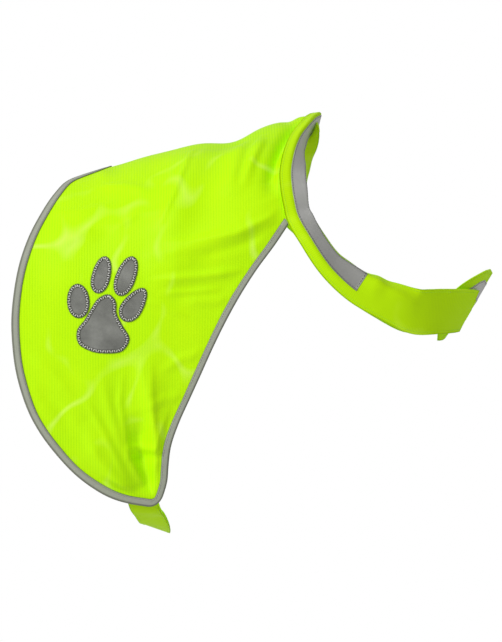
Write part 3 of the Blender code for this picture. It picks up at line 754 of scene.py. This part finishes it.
def edgeBinding():
    path = bindingPath(binding["step"])
    inward = inwardOf(path)
    along = chordLengths(path)
    near = panel["wall"] / 2 + binding["gap"]
    far = near + binding["wall"]
    wide = binding["width"] + binding["uneven"] * np.sin(along / 14.0) * np.sin(along / 37.0 + 1.1)
    puff = binding["puff"] * np.sin(along / 2.1) * np.sin(along / 9.0 + 0.4)
    arc = np.radians(np.linspace(90, -90, binding["foldPoints"]))
    outerFlap, innerFlap = binding["outerFlap"], binding["innerFlap"]
    outer = flap(outerFlap, far) + fold(0.9, 1.5, far, arc) + flap(outerFlap[::-1], -far)
    inner = flap(innerFlap, -near) + fold(1.3, 0.9, near, arc[::-2]) + flap(innerFlap[::-1], near)
    rings, across = [], []
    for d, h, onFlap in outer + inner:
        depth = d * wide if onFlap else np.full(len(path), d)
        lift = h + np.sign(h) * puff * (abs(h) > near - 0.01) * (depth > 2.0) * 0.6
        flat = path + inward * depth[:, None]
        rings.append(liftedCloth(flat[:, 0], flat[:, 1], lift))
        across.append(np.full(len(path), d * binding["width"] if onFlap else d))
    points = np.stack(rings, axis=1)
    count, ring = points.shape[:2]
    i, k = np.meshgrid(np.arange(count - 1), np.arange(ring), indexing="ij")
    n = (k + 1) % ring
    walls = np.stack([i * ring + k, i * ring + n, (i + 1) * ring + n, (i + 1) * ring + k], axis=-1)
    caps = capQuads(0, ring, len(outer))[:, ::-1], capQuads((count - 1) * ring, ring, len(outer))
    uv = np.stack([np.repeat(along[:, None], ring, 1), np.stack(across, axis=1)], axis=-1)
    return finishMesh("edgeBindingTape", points.reshape(-1, 3), np.concatenate([walls.reshape(-1, 4), *caps]),
                      uv.reshape(-1, 2), finishes["binding"])


def capQuads(base, ring, outerCount):
    # closes the U section between its outer and inner lines
    outer = np.arange(outerCount)
    inner = ring - 1 - np.round(outer * (ring - outerCount - 1) / (outerCount - 1)).astype(int)
    return base + np.stack([outer[:-1], outer[1:], inner[1:], inner[:-1]], axis=1)


edgeTape = edgeBinding()
print("binding", len(edgeTape.data.polygons) * 2)

# neck band: sewn to the neck edge, then running on free to the chest, where its ends overlap
band = {
    "node": "neck_band",
    "width": 43.0,
    "wall": 1.1,
    "lift": 2.1,  # mid surface above the panel's
    "step": 3.2,
    "columns": 31,
    "seamRows": 56,
    "frameRows": 15,  # rows of the frame's own seam, for the same hand-over to the free part
    # where across the band its section turns, and over what distance
    "bends": ((8.0, 3.0), (28.0, 5.0)),
    "bendStep": 0.5,
    # that turn at the seam points, in degrees: under the tape and at the front edge
    "seamTurn": ((113, -86), (116, -80), (120, -62), (115, 2), (86, 46), (51, 66), (35, 80), (30, 88),
                 (38, 102)),
    "seamSlope": 12.0,
    "neckMiddle": (60.0, 0.0, -60.0),
    # x, y, z of the lower edge, its slope in the side view, turn under the tape and at the front edge
    "free": ((47.2, -105, -113.7, 31, 50, 105), (65.9, -107, -141.2, 39, 44, 102),
             (90.9, -104, -165.0, 53, 8, 92), (120.8, -97, -182.4, 62, 0, 60), (151.8, -84, -196.8, 78, 0, 0),
             (179.4, -63, -197.2, 84, 0, 0), (196.5, -36, -195.8, 74, 0, 0), (204.0, -14, -194.2, 63, 0, 0),
             (206.0, 0, -193.6, 61, 0, 0)),
    # length from the crest, upward shift of the left side
    "leftRise": ((0, 0), (158, 0), (176, 6), (196, 7), (223, 7), (262, 5.5), (293, 3.2), (330, 1.6),
                 (370, 0.4), (440, 0.3)),
    "frontFrom": 120.0,  # x beyond which the band runs across the chest
    # y along the front, upward slide and inward step of the inner end
    "closure": ((80, 0, 0), (54, 0, 0), (40, 0, 0), (30, 0, 0.2), (20, 3, 0.4), (10, 11, 0.8),
                (2, 18.5, 2.0), (-6, 22, 4.1), (-14, 20, 4.1), (-30, 8, 4.1), (-50, -7, 4.1)),
    "cornerCut": (24.0, 9.0),  # the outer end's lower corner is cut back: across, along
    "cornerRows": 14,
    "outerEnd": -13.0,
    "innerEnd": -61.0,
    "wave": 0.55,
    "ruffle": 1.0,  # where the stiff tape stops on the right side
    "ruffleAt": (105.0, 117.0, 6.0),  # x of its crest, x of its trough, half width
    "cut": (0.043, 0.86),
}


def bandStations():
    seam = np.array(cut["seam"], float)
    keys = chordLengths(seam)
    at = np.linspace(0, keys[-1], band["seamRows"])
    x, g = curveThrough(keys, seam, at).T
    g[0] = 0.0
    face = outward(trunk, x, -g)
    edge = trunk(x, -g) + face * band["lift"]
    cross = unit(trunk(x + 1, -g) - trunk(x, -g))
    turns = lineThrough(keys, band["seamTurn"], at)
    free = np.array(band["free"], float)
    coarseX, coarseG = curveThrough(keys, seam, np.linspace(0, keys[-1], band["frameRows"])[-3:]).T
    joint = trunk(coarseX, -coarseG) + outward(trunk, coarseX, -coarseG) * band["lift"]
    line = np.concatenate([joint, free[:, :3]])
    steps = chordLengths(line)
    along = np.linspace(steps[2], steps[-1], int((steps[-1] - steps[2]) / band["step"]) + 1)[1:]
    freeEdge = curveThrough(steps, line, along)
    angles = np.vstack([(band["seamSlope"], *band["seamTurn"][-1]), free[:, 3:]])
    slopes, *freeTurns = lineThrough(steps[2:], angles, along).T
    slopes = np.radians(slopes)
    edge = np.concatenate([edge, freeEdge])
    run = unit(np.gradient(edge, axis=0))
    run[0], run[-1] = (0, -1, 0), (0, 1, 0)
    freeRun = run[len(cross):]
    freeCross = np.stack([np.cos(slopes), 0 * slopes, np.sin(slopes)], axis=1)
    freeCross = unit(freeCross - freeRun * np.sum(freeCross * freeRun, axis=1)[:, None])
    freeFace = unit(np.cross(freeRun, freeCross))
    inwards = np.sum(freeFace * (freeEdge - np.array(band["neckMiddle"])), axis=1) < 0
    freeFace = freeFace * np.where(inwards, -1.0, 1.0)[:, None]
    cross, face = np.concatenate([cross, freeCross]), np.concatenate([face, freeFace])
    turns = np.concatenate([turns, np.stack(freeTurns, axis=1)])
    for part in (cross, face, turns):  # blend where the sewn part runs on into the free part
        evenOut(part, 6)
    return edge, unit(cross), unit(face), turns


def bandSection(edge, cross, face, turns, widths):
    (firstAt, firstOver), (secondAt, secondOver) = band["bends"]
    points, point, done = [], edge.copy(), 0.0
    for w in widths:
        steps = max(1, int(math.ceil((w - done) / band["bendStep"])))
        for k in range(steps):
            u = done + (w - done) * (k + 0.5) / steps
            turn = turns[0] + (turns[1] - turns[0]) * np.clip((u - secondAt) / secondOver, 0, 1)
            turn = np.radians(turn * np.clip((u - firstAt) / firstOver, 0, 1))
            point = point + (cross * math.cos(turn) - face * math.sin(turn)) * ((w - done) / steps)
        done = w
        points.append(point)
    return points


def bandGrid():
    edge, cross, face, turns = bandStations()
    widths = np.linspace(0, band["width"], band["columns"])
    right = np.array([bandSection(*station, widths) for station in zip(edge, cross, face, turns)])
    mirror = np.array([1.0, -1.0, 1.0])
    near = right[(edge[:, 1] <= band["outerEnd"]) | (edge[:, 0] < band["frontFrom"])][::-1].copy()
    count, (cutAcross, cutAlong) = band["cornerRows"], band["cornerCut"]
    rows = np.arange(float(count))
    for k, w in enumerate(widths):
        back = max(0.0, 1 - w / cutAcross) ** 1.4 * cutAlong / band["step"]
        near[:count, k] = lineThrough(np.arange(count + 10.0), near[:count + 10, k],
                                      rows + back * (1 - rows / count))
    slideKeys, *slides = np.array(band["closure"], float)[::-1].T
    riseKeys, rises = np.array(band["leftRise"], float).T
    lengths = chordLengths(edge)[1:]
    left = (right * mirror)[1:]
    for i in range(len(left)):
        up, inward = np.interp(lengths[i], riseKeys, rises), 0.0
        if left[i, 0, 0] > band["frontFrom"]:
            slide, inward = (np.interp(left[i, 0, 1], slideKeys, column) for column in slides)
            up = max(up, slide)
        left[i] = left[i] + (cross[i + 1] * mirror) * up - (face[i + 1] * mirror) * inward
    inner = []
    for i in range(len(edge) - 2, -1, -1):
        if edge[i, 1] < band["innerEnd"] or edge[i, 0] < band["frontFrom"]:
            break
        up, inward = (np.interp(edge[i, 1], slideKeys, column) for column in slides)
        inner.append(right[i] + cross[i] * up - face[i] * inward)
    grid = np.concatenate([near, left, np.array(inner)])
    normals = -gridNormals(grid)
    along = chordLengths(grid[:, 0])
    a, w = along[:, None], widths[None, :]
    # limp edges: slow waves that grow away from the seam, calmer where the tape stiffens the band
    x, nearSide = grid[:, :1, 0], grid[:, :1, 1] < 0
    free = np.clip((np.abs(x) - 40) / 50, 0, 1)
    wave = np.sin(a / 19.0 + 0.7 * np.sin(a / 41.0)) * (w / band["width"]) ** 2 * 1.3
    wave = wave + 0.5 * np.sin(a / 11.0 + 1.2) * ((band["width"] - w) / band["width"]) ** 2 * free
    wave = wave * (0.35 + 0.65 * free) * band["wave"]
    up, down, half = band["ruffleAt"]
    ruffle = band["ruffle"] * (np.exp(-((x - up) / half) ** 2) - 0.8 * np.exp(-((x - down) / half) ** 2))
    wave = wave + ruffle * nearSide * easeIn((w - 8) / 20)
    grid = grid + normals * wave[..., None]
    return grid, -gridNormals(grid), along, widths, len(near) - 1


bandPoints, bandNormals, bandAlong, bandWidths, crest = bandGrid()
neckBand = sheetObject("neckBandCloth", bandPoints, bandNormals, -band["wall"] / 2, band["wall"] / 2,
                       gridUv(bandAlong, bandWidths), finishes["band"])
print("neck band, cut length mm", round(float(bandAlong[-1]), 1))

# reflective tape along the middle of the band
tape = {
    "node": "neck_tape",
    "from": 11.5,
    "to": 31.5,
    "nearEnd": 92.0,
    "farEnd": -30.0,
    "lift": 0.62,
    "wall": 0.35,
    "columns": 23,
    "ripple": 0.05,
    "cut": (0.020, 0.67),
}


def onBand(rows, widths, lift):
    # points and normals on the outer face of the band at given distances across it
    points, normals = (np.array([lineThrough(bandWidths, table[i], widths) for i in rows])
                       for table in (bandPoints, bandNormals))
    normals = unit(normals)
    return points + normals * lift, normals


def tapeRows():
    first = int(np.argmax(bandPoints[:crest, 0, 0] <= tape["nearEnd"]))
    last = len(bandPoints) - 1
    while bandPoints[last, 0, 1] < tape["farEnd"]:
        last -= 1
    return range(first, last + 1)


tapeWidths = np.linspace(tape["from"], tape["to"], tape["columns"])
tapeAlong = bandAlong[list(tapeRows())]
tapePoints, tapeNormals = onBand(tapeRows(), tapeWidths, tape["lift"])
ripple = np.sin(tapeAlong / 3.3) * 0.5 + np.sin(tapeAlong / 7.9 + 1)
edgeRipple = np.linspace(-1, 1, tape["columns"])[None, :] ** 4 * ripple[:, None] * tape["ripple"]
tapePoints = tapePoints + tapeNormals * edgeRipple[..., None]
neckTape = sheetObject("neckReflectiveTape", tapePoints, tapeNormals, 0.0, tape["wall"],
                       gridUv(tapeAlong, tapeWidths), finishes["tape"])
print("tape")

# belly strap between the wing tips
strap = {
    "node": "belly_strap",
    "inside": 3.7,  # mm under the middle of the panel's cloth
    "width": 28.0,
    "wall": 1.3,
    "columns": 25,
    "rows": 110,
    "twist": (13.0, 1.2),  # length over which it turns, and how far its edges part
    "sway": (8.0, 0.3),
    "calmOver": 50.0,  # mm from each end
    # rear x, rear g, front x, front g inside the panel, then rear x, rear z, front x, front z, y hanging free
    "tucked": ((-128, 366, -102, 371), (-124, 376, -97.5, 381), (-119, 385, -92.5, 390)),
    "free": ((-115.5, -366.5, -87.5, -367.5, -60), (-111.0, -372.5, -83.5, -373.5, -45),
             (-106.5, -379.5, -78.5, -384.0, -24), (-104.5, -381.5, -78.0, -389.5, 0)),
    "cut": (0.028, 0.20),
}


def strapGrid():
    across = np.linspace(0, 1, strap["columns"])
    sides = []
    for sign in (-1, 1):
        rows = []
        for rearX, rearG, frontX, frontG in strap["tucked"]:
            x, g = rearX + (frontX - rearX) * across, sign * (rearG + (frontG - rearG) * across)
            rows.append(liftedCloth(x, g, -strap["inside"]))
        for rearX, rearZ, frontX, frontZ, y in strap["free"]:
            rows.append(np.stack([rearX + (frontX - rearX) * across, 0 * across + sign * abs(y),
                                  rearZ + (frontZ - rearZ) * across], axis=1))
        sides.append(np.array(rows))
    rows = np.concatenate([sides[0], sides[1][:-1][::-1]])
    keys = chordLengths(rows.mean(axis=1))
    at = np.linspace(0, keys[-1], strap["rows"])
    points = curveThrough(keys, rows.reshape(len(rows), -1), at).reshape(strap["rows"], strap["columns"], 3)
    (twistLength, twist), (swayLength, sway) = strap["twist"], strap["sway"]
    along = at[:, None]
    wave = np.sin(along / twistLength) * (across[None, :] - 0.5) * twist + sway * np.sin(along / swayLength)
    calm = easeIn(np.minimum(at, at[-1] - at) / strap["calmOver"])[:, None]
    points = points + gridNormals(points) * (wave * calm)[..., None]
    return points, gridNormals(points), at, across


strapPoints, strapNormals, strapAlong, strapAcross = strapGrid()
bellyStrap = sheetObject("bellyStrapCloth", strapPoints, strapNormals, -strap["wall"] / 2, strap["wall"] / 2,
                         gridUv(strapAlong, strapAcross * strap["width"]), finishes["strap"])
print("strap, cut length mm", round(float(strapAlong[-1]), 1))

# paw patches on the right wing, each edged with satin stitch
paw = {
    "lift": 0.75,
    "wall": 0.5,
    # toes in the side view: x, z, half width, half length, lean in degrees, pointedness
    "toes": ((-165.2, -165.9, 10.4, 16.0, -4, 0.04), (-143.2, -141.2, 8.6, 17.6, 14, 0.10),
             (-119.8, -142.4, 9.2, 19.4, 21, 0.08), (-112.4, -169.2, 9.6, 18.0, 35, 0.26)),
    "pad": ((-136, -160), (-131, -165), (-130, -176), (-123.5, -189.5), (-117, -202.5), (-122.5, -212.3),
            (-137, -215.3), (-155, -212.5), (-165, -205.8), (-166.2, -194.5), (-158.6, -183.5),
            (-152, -172.5), (-145, -163.2)),
    "padCentre": (-142.0, -197.0),
    "spokes": 120,
    "rings": 16,
    "toeCut": ((0.021, 0.034), (0.018, 0.037), (0.019, 0.041), (0.020, 0.039)),
    "toeArea": (0.00053, 0.00048, 0.00057, 0.00055),
    "padCut": (0.052, 0.060),
    "padArea": 0.0019,
    "middle": 0.06,  # share of the outline that the small middle spans
    "puff": 0.16,  # the patch is a little puffed inside its border
    "borderPitch": 2.2,
    "borderWidth": 1.7,
    # distance inside the outline and height over the patch of the two sewn rows; the lower row's dark thread
    # is painted shade along the satin border
    "shadeUnderlayAt": (1.5, -0.1),
    "satinAt": (1.7, 0.25),
}


def toeOutline(x, z, halfWidth, halfLength, lean, point):
    turn = math.radians(lean)
    a = np.linspace(0, 2 * math.pi, paw["spokes"], endpoint=False)
    across, up = halfWidth * np.sin(a) * (1 - point * np.cos(a)), halfLength * np.cos(a)
    return np.stack([x + across * math.cos(turn) + up * math.sin(turn),
                     z - across * math.sin(turn) + up * math.cos(turn)], axis=1)


def padOutline():
    loop = list(paw["pad"])
    count, overlap = 400, 120  # the ring overlaps itself so that the loop closes smoothly
    ring = smoothPath(loop[-3:] + loop + loop[:3], count)
    start = int(np.argmin(np.linalg.norm(ring[:overlap] - loop[0], axis=1)))
    end = count - overlap + int(np.argmin(np.linalg.norm(ring[count - overlap:] - loop[0], axis=1)))
    return smoothPath(ring[start:end + 1], paw["spokes"] + 1)[:-1]


def onWing(x, z, lift):  # points of the side view, laid on the right wing, and the cloth's normals
    girth = -sideGirth(x, z)
    normals = outward(cloth, x, girth)
    return cloth(x, girth) + normals * np.broadcast_to(lift, x.shape)[..., None], normals


def patchPiece(name, centre, outline):
    spokes, rings = paw["spokes"], paw["rings"]
    share = np.linspace(paw["middle"], 1.0, rings)
    flat = centre + (outline[:, None, :] - centre) * share[None, :, None]
    x, z = flat[..., 0], flat[..., 1]
    rise = paw["puff"] * (1 - share ** 4)[None, :]
    top, low = (onWing(x, z, lift)[0].reshape(-1, 3)
                for lift in (paw["lift"] + paw["wall"] + rise, paw["lift"]))
    i, k = np.meshgrid(np.arange(spokes), np.arange(rings - 1), indexing="ij")
    n = (i + 1) % spokes
    walls = np.stack([i * rings + k, i * rings + k + 1, n * rings + k + 1, n * rings + k], axis=-1)
    walls = walls.reshape(-1, 4)
    count = spokes * rings
    rim = np.arange(spokes) * rings + rings - 1
    rimNext = np.roll(rim, -1)
    skirt = np.stack([rim, rim + count, rimNext + count, rimNext], axis=1)
    j = np.arange(spokes // 2 - 1)  # closes the small middle with a strip of faces
    cap = np.stack([j, j + 1, spokes - 2 - j, spokes - 1 - j], axis=1) * rings
    faces = np.concatenate([walls, walls[:, ::-1] + count, skirt, cap, cap[:, ::-1] + count])
    uv = flat.reshape(-1, 2)
    return finishMesh(name, np.concatenate([top, low]), faces, np.concatenate([uv, uv]), finishes["patch"])


def borderRow(outline, centre, inside, height):
    loop = np.concatenate([outline, outline[:2]])
    size = np.linalg.norm(loop - centre, axis=1, keepdims=True)
    loop = centre + (loop - centre) * (1 - inside / size)
    return onWing(loop[:, 0], loop[:, 1], paw["lift"] + paw["wall"] + height)


outlines = [padOutline()] + [toeOutline(*toe) for toe in paw["toes"]]
centres = np.array([paw["padCentre"]] + [toe[:2] for toe in paw["toes"]])
pawNodes = ["paw_pad"] + ["paw_toe_%d" % (k + 1) for k in range(4)]
pawNames = ["pawPadPatch"] + ["pawToePatch%d" % (k + 1) for k in range(4)]
pawPieces = [patchPiece(*patch) for patch in zip(pawNames, centres, outlines)]
print("paw patches")

def thread(pitch, length, radius, arch, seed, **more):  # in mm
    return {"Pitch": pitch * mm, "Length": length * mm, "Thread Radius": radius * mm, "Arch": arch * mm,
            "Seed": seed, **more}


# sewing, one row of raised stitches for each line
sewing = {
    "binding": thread(2.7, 2.1, 0.17, 0.22, 3),
    "tape": thread(2.7, 2.0, 0.17, 0.22, 5),
    "band": thread(2.8, 2.2, 0.16, 0.2, 8),
    "strap": thread(2.6, 2.0, 0.16, 0.2, 9),
    "shadeUnderlay": thread(0.75, 3.8, 0.34, 0.45, 6, Lean=math.radians(90), Zigzag=math.radians(8), Uneven=0.1),
    "paw": thread(paw["borderPitch"], paw["borderWidth"], 0.46, 0.9, 4, Lean=math.radians(90),
                  Zigzag=math.radians(24), Uneven=0.14),
    "over": 0.02,  # mm between cloth and stitch
    "tapeIn": 1.3,
    "tapeEndIn": 1.5,
    "bandIn": 2.6,
    "strapRows": (4, 13, -14, -5),
}


def bindingRows():
    path = bindingPath(binding["stitchStep"])[6:-6]
    x, g = (path + inwardOf(path) * binding["stitchIn"]).T
    height = panel["wall"] / 2 + binding["gap"] + binding["wall"] + sewing["over"]
    return [(liftedCloth(x, g, side * height), outward(cloth, x, g) * side) for side in (1, -1)]


def bandRow(width, rows, lift, side=1):
    points, normals = onBand(rows, np.array([width]), 0.0)
    return points[:, 0] + normals[:, 0] * lift * side, normals[:, 0] * side


def tapeLines():
    top = tape["lift"] + tape["wall"] + sewing["over"]
    sides = tape["from"] + sewing["tapeIn"], tape["to"] - sewing["tapeIn"]
    lines = [bandRow(width, tapeRows(), top) for width in sides]
    for row, after in ((tapeRows()[0], 1), (tapeRows()[-1], -1)):
        points, normals = onBand([row], np.linspace(*sides, 12), top)
        step = bandPoints[row + after, 15] - bandPoints[row, 15]
        lines.append((points[0] + unit(step) * sewing["tapeEndIn"], normals[0]))
    return lines


def bandLines():
    top = band["wall"] / 2 + sewing["over"]
    rows = range(2, len(bandPoints) - 2)
    far = band["width"] - sewing["bandIn"]
    return [bandRow(sewing["bandIn"], rows, top), bandRow(far, rows, top), bandRow(far, rows, top, -1)]


def strapLines():
    lines = []
    for side in (1, -1):
        up = strapNormals * side
        top = strapPoints + up * (strap["wall"] / 2 + sewing["over"])
        lines += [(top[3:-3, column], up[3:-3, column]) for column in (2, -3)]
        lines += [(top[row, 2:-2], up[row, 2:-2]) for row in sewing["strapRows"]]
    return lines


def borderLines(inside, height):
    return [borderRow(outline, centre, inside, height) for outline, centre in zip(outlines, centres)]


bindingStitches = stitches("bindingStitches", bindingRows(), finishes["greyThread"], sewing["binding"])
tapeStitches = stitches("tapeStitches", tapeLines(), finishes["darkThread"], sewing["tape"])
bandStitches = stitches("bandStitches", bandLines(), finishes["neonThread"], sewing["band"])
strapStitches = stitches("strapStitches", strapLines(), finishes["neonThread"], sewing["strap"])
# dark row under the satin border: its dark thread is painted shade along the border's edges
pawShadeUnderlay = stitches("pawShadeUnderlayStitches", borderLines(*paw["shadeUnderlayAt"]), finishes["darkThread"],
                       sewing["shadeUnderlay"])
pawStitches = stitches("pawSatinStitches", borderLines(*paw["satinAt"]), finishes["paleThread"],
                       sewing["paw"])
print("sewing")

# camera, floor and light
view = {
    "lens": 300.0,
    "place": (-0.0899, -5.1862, -0.1849),
    "turn": (90.0, 0.0, -1.0),
    "floorBelow": -0.65,
    "floorRadius": 2.0,
    "floorCorners": 96,
    "lamps": {  # place, size, power
        "keyLight": ((-2.2, -2.3, 1.35), 0.9, 78.0),
        "fillLight": ((2.4, -2.2, 0.5), 2.2, 3.0),
        "topLight": ((0.2, 0.6, 2.6), 2.4, 9.0),
        "backLight": ((-0.6, 2.8, 1.2), 2.2, 3.0)},
    "lampsAim": (-0.02, 0.0, -0.18),
    "room": 0.33,
    "backdrop": 1.0,
}
camera = linked("camera", bpy.data.cameras.new("camera"))
camera.data.lens = view["lens"]
camera.data.sensor_width = 36.0
camera.data.clip_end = 100.0
camera.location = view["place"]
camera.rotation_euler = tuple(math.radians(a) for a in view["turn"])
bpy.context.scene.camera = camera

floorMesh = bpy.data.meshes.new("floor")
around = [(view["floorRadius"] * math.cos(a), view["floorRadius"] * math.sin(a), view["floorBelow"])
          for a in np.linspace(0, 2 * math.pi, view["floorCorners"] + 1)[:-1]]
floorMesh.from_pydata(around, [], [list(range(view["floorCorners"]))])
floor = linked("floor", floorMesh)
floorPaint = Graph("paleFloor")
floorPaint.shade(Base_Color=(0.86, 0.86, 0.86, 1.0), Roughness=0.9)
floorMesh.materials.append(floorPaint.material)

for name, (place, size, power) in view["lamps"].items():
    light = bpy.data.lights.new(name, "AREA")
    light.shape, light.size, light.energy = "DISK", size, power
    lamp = linked(name, light)
    lamp.location = place
    x, y, z = np.array(view["lampsAim"]) - np.array(place)
    lamp.rotation_euler = (math.atan2(math.hypot(x, y), -z), 0, math.atan2(y, x) - math.pi / 2)

world = bpy.data.worlds.new("room")
bpy.context.scene.world = world
world.use_nodes = True
room = world.node_tree.nodes["Background"]
room.inputs["Color"].default_value = (1.0, 1.0, 1.0, 1.0)
seen = world.node_tree.nodes.new("ShaderNodeLightPath")  # the camera sees a white backdrop
lift = world.node_tree.nodes.new("ShaderNodeMapRange")
lift.inputs["To Min"].default_value = view["room"]
lift.inputs["To Max"].default_value = view["backdrop"]
world.node_tree.links.new(seen.outputs["Is Camera Ray"], lift.inputs["Value"])
world.node_tree.links.new(lift.outputs[0], room.inputs["Strength"])
bpy.context.scene.view_settings.view_transform = "Standard"
print("camera, floor and light")


pieces = [
    (backCloth, "hi_vis_cloth", panel["node"]),
    (edgeTape, "grey_binding", binding["node"]),
    (neckBand, "hi_vis_band", band["node"]),
    (neckTape, "reflective_tape", tape["node"]),
    (bellyStrap, "hi_vis_strap", strap["node"]),
    *((patch, "paw_grey", node) for patch, node in zip(pawPieces, pawNodes)),
    (bindingStitches, "grey_binding", None),
    (tapeStitches, "reflective_tape", None),
    (bandStitches, "hi_vis_band", None),
    (strapStitches, "hi_vis_strap", None),
    (pawShadeUnderlay, "paw_grey", None),
    (pawStitches, "paw_grey", None),
]
for piece, slot, node in pieces:
    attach(piece, "root")
    if node:
        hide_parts(node)
